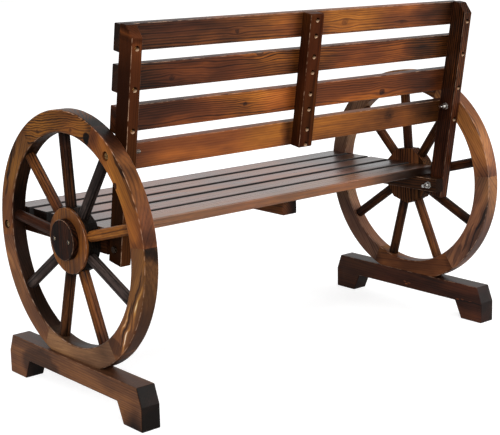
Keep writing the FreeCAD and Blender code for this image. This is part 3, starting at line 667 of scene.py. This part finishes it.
print("lacquer IOR", LACQUER_IOR)

# %% The board's material
# a ragged copy of the place makes burnt patches end in tongues rather than in circles
RAGGED = 26 * MM
TONGUES_PER_METRE = 18
SEEDS = 50


def fir_material(name, axes, middle, look):
    """Torched fir for one piece: axes are its grain, across and thickness directions, look says the rest."""
    seed = random.Random(name).uniform(0, SEEDS)
    material, tree = empty_material("torched_fir_" + name)
    board, grained, tree_place, knot_heart = places(tree, axes, middle, look)
    normal = add(tree, "NewGeometry").outputs["Normal"]
    on_face = facing(tree, normal, axes[2])
    on_end = facing(tree, normal, axes[0])
    rag = add(
        tree, "TexNoise", {"Vector": board, "W": seed, "Scale": TONGUES_PER_METRE, "Detail": 3},
        noise_dimensions="4D",
    )
    ragged = shaken(tree, board, rag, (2 * RAGGED, RAGGED, RAGGED))
    burn = burnt(tree, ragged, normal, axes, on_face, on_end, look)
    # black bands along the long sides: burnt edges, and painted shade for the gaps between seat boards
    char_and_gap_shade = 0.0
    if look["char_and_gap_shade"]:
        char_and_gap_shade = char_and_gap_shade_bands(tree, board, look)
        burn = add(tree, "Math", {0: burn, 1: char_and_gap_shade}, operation="ADD").outputs[0]
    broad = add(
        tree, "VectorMath", {0: grained, 1: (1, 1 / look["broad"], 1 / look["broad"])},
        operation="MULTIPLY",
    ).outputs[0]
    wood = add(
        tree, "Group",
        {"Board place": broad, "Tree place": tree_place, "Seed": seed, "Ring spacing": look["ring"] * MM,
         "Wave": look["wave"] * MM, "Tone": look["tone"], "Clouds": look["clouds"],
         "Streaks": look["streaks"], "Lines": look["lines"], "Burn": burn, "Knot": knot_heart,
         "Arris": worn_and_glinting_arrises(tree, board, seed, on_face, on_end, look), "Tint": linear(look["tint"])},
        node_tree=fir,
    )
    surface = lacquer(tree, wood, raw_wood_and_painted_light_in_bores(tree, board, normal, look), char_and_gap_shade, look)
    add(tree, "OutputMaterial", {"Surface": surface})
    return material


print("burnt patches end in tongues of", round(1 / TONGUES_PER_METRE, 3), "m")

# %% [markdown]
# ## Where each piece lay in the tree
# The looks below start from one plain look, and each piece changes what the photograph shows of it.
# Places and sizes are millimetres from the piece's middle, along its grain and across its face.
# - tone, clouds, streaks, lines: its lightness, and how strongly clouds, streaks and rings are drawn.
# - ring, wave, pith, lean: the rings' spacing, how far they wave, where the tree's middle lies beside
#   and behind the piece, and how many degrees it is tilted.
# - broad, rough, relief, gloss: how much wider all noises are, how much rougher the lacquer is, how
#   strong the brushed relief is, and the lacquer's specular level.
# - tint, colourful: a stain that is multiplied in, and how much of the colour is left after weathering.
# - knots and burns: marks on the face. A burn below zero is a pale place that the flame missed.
# - scorches: burns with a crisp rim, such as a scratch, a chip or a resin line.
# - edge_burn, edge_burns: burn on all edges, and burns that show on the edges only.
# - end_burn, back_burn: burn on end grain, and on the edge that looks away from the across direction,
#   which is a felloe's inner edge and a seat board's front edge; on a felloe's inner edge it is partly
#   painted shade.
# - charred: how wide the black bands along a face's long sides are; on the seat boards they are burnt
#   edges and painted shade that stands for the dark gaps between the boards.
# - arris, arris_turn: how pale the arrises are, rubbed and with a painted highlight, and 1 where the arris
#   of a disc is pale all round.
# - bored_for: the fasteners whose bores cross the piece.

# %% The plain look
PLAIN = {
    "tone": 0.55, "clouds": 0.15, "streaks": 0.5, "lines": 0.25,
    "ring": 4.6, "wave": 7, "pith": (60, 45), "lean": 1.0,
    "broad": 1.0, "rough": 0.0, "relief": 0.6, "gloss": 0.15, "tint": WHITE, "colourful": 1.0,
    "knots": (), "burns": (), "scorches": (), "edge_burns": (),
    "edge_burn": 0.15, "end_burn": 0.1, "back_burn": 0.0, "char_and_gap_shade": 0,
    "arris": 0.6, "arris_turn": 0.5, "bored_for": (),
}


def middle_of(name):
    """The middle of a node's box."""
    low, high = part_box(name)
    return (low + high) / 2


print("the plain look has", len(PLAIN), "settings")

# %% Where the fasteners are
# a little more than the bores' real radii, so that their walls are covered
BORE_RADII = {"short_screws": 5.55, "long_screws": 5.55, "frame_bolts": 10.05}
# a shank that stands across a piece's face is more than this many times as long as it is thick
SLENDER = 2


def surfaces_in(mesh):
    """The points of each joined surface in a mesh. A screw has several, because sharp edges part them."""
    leader = list(range(len(mesh.vertices)))

    def first_of(index):
        while leader[index] != index:
            leader[index] = leader[leader[index]]
            index = leader[index]
        return index

    for edge in mesh.edges:
        a, b = (first_of(v) for v in edge.vertices)
        leader[a] = b
    groups = {}
    for vertex in mesh.vertices:
        groups.setdefault(first_of(vertex.index), []).append(vertex.co)
    return list(groups.values())


def bores_in(name, axes, middle, kinds):
    """A mark for each screw's or bolt's shank that stands across this piece's face."""
    marks = []
    low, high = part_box(name)
    for kind in kinds:
        for points in fasteners[kind]:
            centre = sum(points, Vector()) / len(points)
            spans = [max(p.dot(a) for p in points) - min(p.dot(a) for p in points) for a in axes]
            inside = all(low[i] < centre[i] < high[i] for i in range(3))
            if inside and spans[2] > SLENDER * max(spans[:2]):
                along, across = ((centre - middle).dot(a) / MM for a in axes[:2])
                marks.append((along, across, BORE_RADII[kind], BORE_RADII[kind], 1))
    return marks


fasteners = {name: surfaces_in(nodes[name].data) for name in BORE_RADII}
print("surfaces found:", {name: len(found) for name, found in fasteners.items()})

# %% Dressing a piece
ALONG_X = Vector((1, 0, 0))
ALONG_Y = Vector((0, 1, 0))
UPRIGHT = Vector((0, 0, 1))


def dress(name, axes, **changes):
    """Gives one wooden node its own torched fir, from its grain and across directions and its look."""
    grain, across = (Vector(v).normalized() for v in axes)
    axes = (grain, across, grain.cross(across).normalized())
    look = {**PLAIN, **changes}
    low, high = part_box(name)
    look["half_width"] = (high - low).dot(Vector(abs(v) for v in across)) / 2
    look["bores"] = bores_in(name, axes, middle_of(name), look["bored_for"])
    nodes[name].material_slots[0].material = fir_material(name, axes, middle_of(name), look)


print("grain runs along", [round(v) for v in ALONG_X], "in slats and seat boards")

# %% [markdown]
# ### The back
# Four slats are screwed to three posts, and the whole back leans nine degrees. The frame gives that lean:
# it is the slope from the lowest slat's middle to the highest one's. Slats are burnt most at their ends
# and behind the middle post, and pale in between, which soft spots draw well.

# %% Back slats
RED_STAIN = "#ffe6c4"
GOLDEN_STAIN = "#ffdfae"
rise = middle_of("back_slat_1") - middle_of("back_slat_4")
up_the_back = Vector((0, rise.y, rise.z)).normalized()
SLAT_LOOKS = {
    "back_slat_1": {
        "tone": 0.61, "pith": (-58, 40), "lean": 0.6, "wave": 9, "lines": 0.3,
        "knots": ((204, -3, 5, 0.7), (-114, -2, 8, 0.45), (-304, -12, 5, 0.2)),
        "burns": (
            (460, 0, 300, 90, 0.75), (0, 0, 70, 60, 0.4), (-470, 0, 150, 90, 0.9),
            (300, 0, 160, 50, 0.2), (-150, 0, 160, 60, -0.3),
        ),
    },
    "back_slat_2": {
        "tone": 0.6, "pith": (64, 36), "lean": -0.7, "wave": 18, "lines": 0.46, "tint": GOLDEN_STAIN,
        "knots": ((135, 29, 9, 1.1), (368, -9, 6, 0.5)),
        "burns": (
            (-379, 2, 70, 34, 0.6), (440, 0, 260, 90, 0.7), (30, 0, 70, 60, 0.4),
            (-470, 0, 80, 90, 0.5), (-250, 0, 220, 90, 0.25), (-190, 0, 140, 60, -0.2),
        ),
    },
    "back_slat_3": {
        "tone": 0.63, "pith": (-70, 44), "lean": 0.8, "wave": 22, "lines": 0.5, "tint": GOLDEN_STAIN,
        "knots": ((165, 1, 5, 0.7), (-263, -12, 8, 1.2)),
        "burns": ((430, 0, 180, 90, 0.7), (-440, 0, 140, 90, 0.6), (70, 4, 90, 50, -0.35)),
    },
    "back_slat_4": {
        "tone": 0.64, "pith": (80, 60), "lean": -0.5, "wave": 9, "lines": 0.12, "clouds": 0.16,
        "knots": ((-300, 6, 4, 0.5),),
        "burns": (
            (26, 0, 30, 90, 0.7), (-450, 0, 110, 90, 0.7), (455, 0, 90, 90, 0.3), (110, 0, 100, 50, -0.1),
            (-300, 8, 16, 22, 0.4), (-296, -10, 60, 30, 0.2), (-290, 0, 240, 90, 0.35),
        ),
    },
}
for name, look in SLAT_LOOKS.items():
    slat_look = {"tint": RED_STAIN, "ring": 4.2, "clouds": 0.24, "streaks": 0.4, **look}
    dress(name, (ALONG_X, up_the_back), **slat_look)
print("slats lean", round(math.degrees(math.atan2(rise.y, rise.z)), 1), "degrees")

# %% Posts
POST_LOOKS = {
    "left_post": {
        "tone": 0.34, "edge_burn": 0.26, "pith": (20, 40), "arris": 0.8, "gloss": 0.02, "tint": "#ffe8c8",
        "streaks": 0.25, "lines": 0.1, "clouds": 0.04,
        "burns": ((205, 0, 60, 60, -0.25), (218, 0, 10, 60, 0.3)), "edge_burns": ((226, 0, 16, 90, -0.5),),
    },
    "right_post": {
        "tone": 0.39, "edge_burn": 0.3, "pith": (-18, 44), "arris": 0.35, "gloss": 0.1, "tint": "#ffe0cc",
        "streaks": 1.1, "lines": 0.45,
    },
    "middle_post": {
        "tone": 0.34, "edge_burn": 0.12, "pith": (6, 60), "end_burn": 0, "gloss": 0.02, "tint": "#ffdcb8",
        "streaks": 0.35, "lines": 0.15, "clouds": 0.1,
    },
}
for name, look in POST_LOOKS.items():
    dress(
        name, (up_the_back, ALONG_X), wave=4, lean=0.5, bored_for=("short_screws", "long_screws"), **look
    )
print("dressed", len(POST_LOOKS), "posts")

# %% [markdown]
# ### The seat
# Five boards lie on three bearers and two outer rails. Seen so flat, their lacquer mirrors the white
# studio, so it is the roughness and the bump that draw them, more than the colour. Their long sides get
# black bands that are partly burnt edges and partly painted shade, which draws the dark gaps between them.
# Only the rear board is golden, with a clean edge.

# %% Seat boards
seat_boards = sorted(n for n in nodes if n.startswith("seat_board"))
rear_board = max(seat_boards, key=lambda name: middle_of(name).y)
REAR_BOARD_LOOK = {"tint": "#ffecb8", "edge_burn": -0.1, "char_and_gap_shade": 0}
# the 9 mm black bands along these boards' long sides are burnt edges and painted shade of the gaps
OTHER_BOARD_LOOK = {"tint": "#ffdecb", "edge_burn": 1.0, "char_and_gap_shade": 9}
for index, name in enumerate(seat_boards):
    dress(
        name, (ALONG_X, ALONG_Y), tone=0.52 + 0.02 * (index % 3), lean=0.8 - 0.4 * index,
        pith=(60 - 30 * index, -50), gloss=0.8, rough=-0.12, relief=0.2, arris=0, back_burn=0.5,
        lines=0.12, streaks=0.3, clouds=0.1, edge_burns=((-440, 0, 200, 200, 0.7),),
        burns=((470, 0, 90, 60, 0.5), (-450, 0, 200, 60, 0.9), (0, 0, 60, 60, 0.2)),
        **(REAR_BOARD_LOOK if name == rear_board else OTHER_BOARD_LOOK),
    )
print("dressed", len(seat_boards), "seat boards, the rear one is", rear_board)

# %% Bearers and rails
BROWN_STAIN = "#fff0e0"
BEARER_LOOKS = {
    "middle_bearer": {"tone": 0.56, "burns": ((190, -22, 60, 32, 1.3),), "end_burn": 0.2},
    "left_bearer": {"tone": 0.22},
    "right_bearer": {"tone": 0.25},
    "left_outer_rail": {"tone": 0.25},
    "right_outer_rail": {"tone": 0.25},
}
for name, look in BEARER_LOOKS.items():
    dress(
        name, (ALONG_Y, ALONG_X), streaks=0.35, lines=0.2, edge_burn=0.0, bored_for=("short_screws",),
        tint=BROWN_STAIN, gloss=0.08, **look,
    )
print("dressed", len(BEARER_LOOKS), "bearers and rails")

# %% [markdown]
# ### The wheels
# Six felloes make a rim, and nine spokes stand between the rim and the hub. A felloe is sawn from a
# straight plank, so its grain runs along its chord, and the rim shows a break in the grain at each joint.
# Each felloe spans 60 degrees, so its chord follows from its number. The left wheel is nearest to the
# camera and shows most, so its felloes have most marks, and its tread is burnt darker; its inner tread is
# darker still, partly as painted shade.

# %% The left rim's felloes
LEFT_FELLOES = {
    "left_felloe_1": {
        "tone": 0.67, "clouds": 0.24, "tint": "#ffeed4", "edge_burn": 0.3,
        "burns": ((118, -10, 26, 60, 0.3), (-126, 0, 20, 50, 0.3), (44, 62, 50, 22, -0.7)),
        "scorches": ((0, 4, 12, 10, 0.9), (30, 40, 44, 7, 0.6), (-30, 38, 70, 6, 0.3)),
        "edge_burns": ((115, 24, 60, 80, 0.8),),
    },
    "left_felloe_2": {
        "tone": 0.62, "lines": 0.45, "wave": 34, "ring": 3.6, "clouds": 0.2, "pith": (-34, 30),
        "tint": "#fff4dc", "edge_burn": 0.45, "edge_burns": ((-135, 10, 60, 80, 0.7),),
        "knots": ((-58, 1, 5, 0.6), (72, 0, 5, 0.4)),
        "scorches": ((-118, -22, 20, 16, 1.1), (86, -30, 20, 8, 0.4)),
    },
    "left_felloe_3": {
        "tone": 0.54, "clouds": 0.26, "burns": ((100, 0, 40, 40, -0.2),),
        "scorches": ((-28, 34, 60, 7, 0.6), (20, 30, 40, 5, 0.4), (-80, 26, 40, 5, 0.4)),
    },
    "left_felloe_4": {
        "tone": 0.63, "lines": 0.2, "tint": "#fff8cc", "colourful": 0.9,
        "burns": ((-90, 20, 40, 12, -0.5), (60, 0, 60, 60, 0.1)),
    },
    "left_felloe_5": {
        "tone": 0.59, "lines": 0.06, "tint": "#fff6c4", "colourful": 0.82,
        "burns": ((-70, 0, 90, 60, -0.15), (90, 0, 60, 70, 0.25)),
    },
    "left_felloe_6": {
        "tone": 0.56, "clouds": 0.14, "lines": 0.05, "tint": "#fffae4", "colourful": 0.96,
        "edge_burn": 0.36, "edge_burns": ((134, 20, 18, 80, 0.75),),
        "burns": ((20, 34, 60, 5, -1.0), (-60, 26, 60, 4, -1.1), (-30, 12, 50, 3, -0.8)),
        "scorches": ((40, 24, 70, 3, 0.5), (-40, 18, 80, 3, 0.5), (-110, 0, 30, 30, 0.3)),
    },
}
print("the left rim has", len(LEFT_FELLOES), "felloes")

# %% The right rim's felloes
RIGHT_FELLOES = {
    "right_felloe_1": {
        "tone": 0.65, "clouds": 0.2, "streaks": 0.6, "lines": 0.2, "tint": "#fff0d8", "colourful": 0.96,
        "edge_burn": 0.0, "gloss": 0.3,
    },
    "right_felloe_2": {"tone": 0.6, "lines": 0.3, "wave": 20},
    "right_felloe_3": {"tone": 0.47, "edge_burn": -0.15, "back_burn": -0.15, "colourful": 0.8},
    "right_felloe_4": {
        "tone": 0.53, "lines": 0.2, "edge_burn": -0.15, "back_burn": -0.15, "colourful": 0.8
    },
    "right_felloe_5": {"tone": 0.54, "clouds": 0.24},
    "right_felloe_6": {
        "tone": 0.54, "clouds": 0.3, "tint": "#fff4ec", "colourful": 0.92, "edge_burn": 0.0, "gloss": 0.35,
        "burns": ((0, 24, 50, 10, -0.5),),
        "scorches": (
            (50, 38, 70, 5, 0.5), (-30, 20, 60, 4, 0.4), (-20, 36, 80, 3, 0.4), (-90, 10, 40, 10, 0.3),
        ),
    },
}
print("the right rim has", len(RIGHT_FELLOES), "felloes")

# %% Both rims
OLIVE_STAIN = "#fffcf4"
FELLOE_SPAN = 60
# the middle of each rim's first felloe, in degrees up from the rear
FIRST_FELLOE = 36
PLAIN_FELLOE = {
    "wave": 12, "lean": 0.8, "pith": (-50, 45), "lines": 0.12, "streaks": 0.35, "clouds": 0.16,
    "tint": OLIVE_STAIN, "arris": 0.5, "broad": 1.4, "end_burn": 0.0, "gloss": 0.1,
    "burns": ((138, 0, 24, 60, 0.3), (-138, 0, 24, 60, 0.3)),
}
# the left rim's back_burn darkens its inner tread partly as painted shade
RIMS = ((LEFT_FELLOES, {"edge_burn": 0.62, "back_burn": 0.25}), (RIGHT_FELLOES, {"edge_burn": 0.1}))
for felloes, rim_look in RIMS:
    for index, (name, look) in enumerate(felloes.items()):
        angle = math.radians(FIRST_FELLOE + FELLOE_SPAN * index)
        outward = Vector((0, math.cos(angle), math.sin(angle)))
        chord = Vector((0, -math.sin(angle), math.cos(angle)))
        felloe_look = {**PLAIN_FELLOE, **rim_look, **look}
        dress(name, (chord, outward), bored_for=("frame_bolts",), **felloe_look)
print("each felloe spans", FELLOE_SPAN, "degrees")

# %% [markdown]
# ### Spokes, hubs and feet
# Spokes are dowels turned along the grain, so each one's grain points out from the axle, and its own tone
# is what tells it from the next. Three of them have weathered grey. A hub is a thick drum, a thin disc
# and a cap, all with upright grain. A foot is one beam sawn to an arch.

# %% Spokes
SPOKE_TONES = {
    "left": (0.66, 0.27, 0.25, 0.48, 0.38, 0.33, 0.34, 0.52, 0.34),
    "right": (0.27, 0.28, 0.42, 0.45, 0.37, 0.35, 0.32, 0.48, 0.28),
}
GREYED_SPOKES = ("left_spoke_2", "left_spoke_6", "left_spoke_9")
for side, tones in SPOKE_TONES.items():
    axle = middle_of(side + "_hub")
    for number, tone in enumerate(tones, start=1):
        name = f"{side}_spoke_{number}"
        outward = middle_of(name) - axle
        outward.x = 0
        outward.normalize()
        dress(
            name, (outward, ALONG_X.cross(outward)), tone=tone, clouds=0.14, streaks=0.9, broad=2.2,
            ring=5, wave=4, lean=0.5, pith=(16, 20), arris=0, edge_burn=0.1, tint="#ffeedd", gloss=0.08,
            burns=((80, 0, 34, 40, 0.3), (-80, 0, 30, 40, 0.3)),
            colourful=0.45 if name in GREYED_SPOKES else 1.0,
        )
print("dressed", sum(len(tones) for tones in SPOKE_TONES.values()), "spokes")

# %% Hubs
DRUM_LOOKS = {"left": {"tone": 0.14, "colourful": 0.7}, "right": {"tone": 0.46}}
for side, drum_look in DRUM_LOOKS.items():
    dress(
        side + "_hub", (UPRIGHT, ALONG_Y), edge_burn=0.1, lines=0.6, streaks=1.0, wave=18, ring=6,
        gloss=0.03, **drum_look,
    )
    dress(
        side + "_hub_disc", (UPRIGHT, ALONG_Y), tone=0.62, pith=(30, 60), tint="#ffeed8", arris=0.7,
        arris_turn=1, lines=0.15, clouds=0.2, broad=1.5,
        burns=((40, 0, 50, 60, 0.25), (-55, 0, 40, 60, 0.3)),
    )
    dress(
        side + "_hub_cap", (UPRIGHT, ALONG_Y), tone=0.23, pith=(-20, 30), tint="#ffdcd4", arris=0.5,
        arris_turn=1, streaks=0.9, lines=0.3, broad=2.0, gloss=0.08,
    )
print("dressed", len(DRUM_LOOKS), "hubs")

# %% Feet
# a scratch in the shape of a V, chips and a dark line, as pale (below zero) and dark marks
RIGHT_FOOT_MARKS = (
    (0, 11, 5, 3, -0.6), (8, 17, 8, 3, -0.5), (-7, 17, 6, 3, -0.5), (182, 3, 6, 2.5, -0.6),
    (198, 4, 5, 2.5, -0.5), (223, 2, 6, 2, -0.4), (230, 0, 70, 2.5, 0.4),
)
dress(
    "left_foot", (ALONG_Y, UPRIGHT), tone=0.57, wave=8, pith=(60, 50), clouds=0.14, streaks=0.35,
    lines=0.1, tint="#fff0ea", colourful=0.92, gloss=0.14, arris=0.3, edge_burn=0.32, end_burn=0.68,
    scorches=((-118, -8, 104, 60, 0.38),), burns=((235, -46, 50, 50, 1.1), (-112, 0, 140, 90, 0.1)),
)
dress(
    "right_foot", (ALONG_Y, UPRIGHT), tone=0.3, pith=(50, 50), tint="#ffe8e4", streaks=0.3, lines=0.12,
    arris=0.5, gloss=0.2, edge_burn=0.24, burns=((235, -20, 40, 40, -0.12),), scorches=RIGHT_FOOT_MARKS,
)
print("dressed two feet, the right one with", len(RIGHT_FOOT_MARKS), "marks")

# %% [markdown]
# ## Zinc-plated steel
# Screws, bolts, washers and nuts are bright zinc-plated steel. Plating is metal through and through, so
# it is fully metallic and keeps the default index of refraction. Handling leaves it slightly cloudy.
# Where lacquer and soot reached a screw or a bolt, it is brown, dull or black, and a pale painted highlight
# lies on its rim. Each kind of fastener stands at its own distance from the bench's middle, so a stained
# zone is simply a stretch along X.

# %% Zinc colours, each as a dark and a light tone
BRIGHT = ("#a6a4a0", "#f4f2ee")
BROWNED = ("#7a5630", "#c89c62")
BLACKENED = ("#1c140e", "#3a2a1e")
DULLED = ("#3c342e", "#6c645c")
# the pale colour of a painted highlight on the rims of screw heads, bolt heads and nuts
PAINTED_RIM_GLINT = "#c8b498"
print("bright zinc runs from", BRIGHT[0], "to", BRIGHT[1])

# %% Zinc
ZINC_CLOUD = 3 * MM
ZINC_CLOUD_RANGE = (0.35, 0.65)
RIM_NORMAL = 0.8
# bright plating mirrors softly where it is clean and scatters where it is cloudy
CLEAN_ROUGHNESS = 0.12
CLOUDY_ROUGHNESS = 0.4


def zinc_material(name, zones):
    """Zinc plate. A zone is two places along X, the stained colours there, and how strong the painted
    highlight on its rims is.
    """
    material, tree = empty_material(name)
    place = add(tree, "TexCoord").outputs["Object"]
    cloud = add(tree, "TexNoise", {"Vector": place, "Scale": 1 / ZINC_CLOUD, "Detail": 3}).outputs[0]
    along = add(tree, "SeparateXYZ", {0: place}).outputs["X"]
    flat = add(tree, "SeparateXYZ", {0: add(tree, "NewGeometry").outputs["Normal"]}).outputs["X"]
    flat = add(tree, "Math", {0: flat}, operation="ABSOLUTE").outputs[0]
    # rims, where the surface turns away from X, get the painted highlight
    rim = add(tree, "Math", {0: flat, 1: RIM_NORMAL}, operation="LESS_THAN").outputs[0]

    def clouded_zinc(tones):
        stops = [(place, linear(tone)) for place, tone in zip(ZINC_CLOUD_RANGE, tones)]
        return add(tree, "ValToRGB", {"Fac": cloud}, stops=stops).outputs[0]

    colour = clouded_zinc(BRIGHT)
    for zone_from, zone_to, tones, rim_glint in zones:
        middle, half = (zone_from + zone_to) / 2 * MM, (zone_to - zone_from) / 2 * MM
        inside = add(tree, "Math", {0: along, 1: middle, 2: half}, operation="COMPARE").outputs[0]
        wear_and_glint = add(tree, "Math", {0: rim, 1: rim_glint}, operation="MULTIPLY").outputs[0]
        stained = add(
            tree, "Mix", {0: wear_and_glint, MIX_A: clouded_zinc(tones), MIX_B: linear(PAINTED_RIM_GLINT)}, data_type="RGBA"
        ).outputs[MIX_RESULT]
        colour = add(
            tree, "Mix", {0: inside, MIX_A: colour, MIX_B: stained}, data_type="RGBA"
        ).outputs[MIX_RESULT]
    rough = add(tree, "MapRange", {"Value": cloud, "To Min": CLEAN_ROUGHNESS, "To Max": CLOUDY_ROUGHNESS})
    plated = add(
        tree, "BsdfPrincipled", {"Base Color": colour, "Metallic": 1.0, "Roughness": rough.outputs[0]}
    )
    add(tree, "OutputMaterial", {"Surface": plated.outputs[0]})
    return material


print("zinc is clouded every", ZINC_CLOUD, "m")

# %% Zinc on the fasteners
# a zone: from and to along X in millimetres, its stained colours, and how much painted highlight its rims
# get
BOLT_ZONES = (
    (515, 545, BROWNED, 0.6), (-545, -515, BROWNED, 0.6), (495, 515, BLACKENED, 0.4),
    (-515, -495, BLACKENED, 0.4), (400, 495, DULLED, 0.0),
)
SCREW_ZONES = ((-537, 537, BROWNED, 0.0), (537, 560, DULLED, 0.45), (-560, -537, DULLED, 0.45))
bolt_zinc = zinc_material("bright_zinc_plated_bolts", BOLT_ZONES)
screw_zinc = zinc_material("bright_zinc_plated_screws", SCREW_ZONES)
for name in ("short_screws", "long_screws"):
    nodes[name].material_slots[0].material = screw_zinc
for name in ("frame_bolts", "frame_washers", "frame_nuts"):
    nodes[name].material_slots[0].material = bolt_zinc
print("zinc on five groups of fasteners")
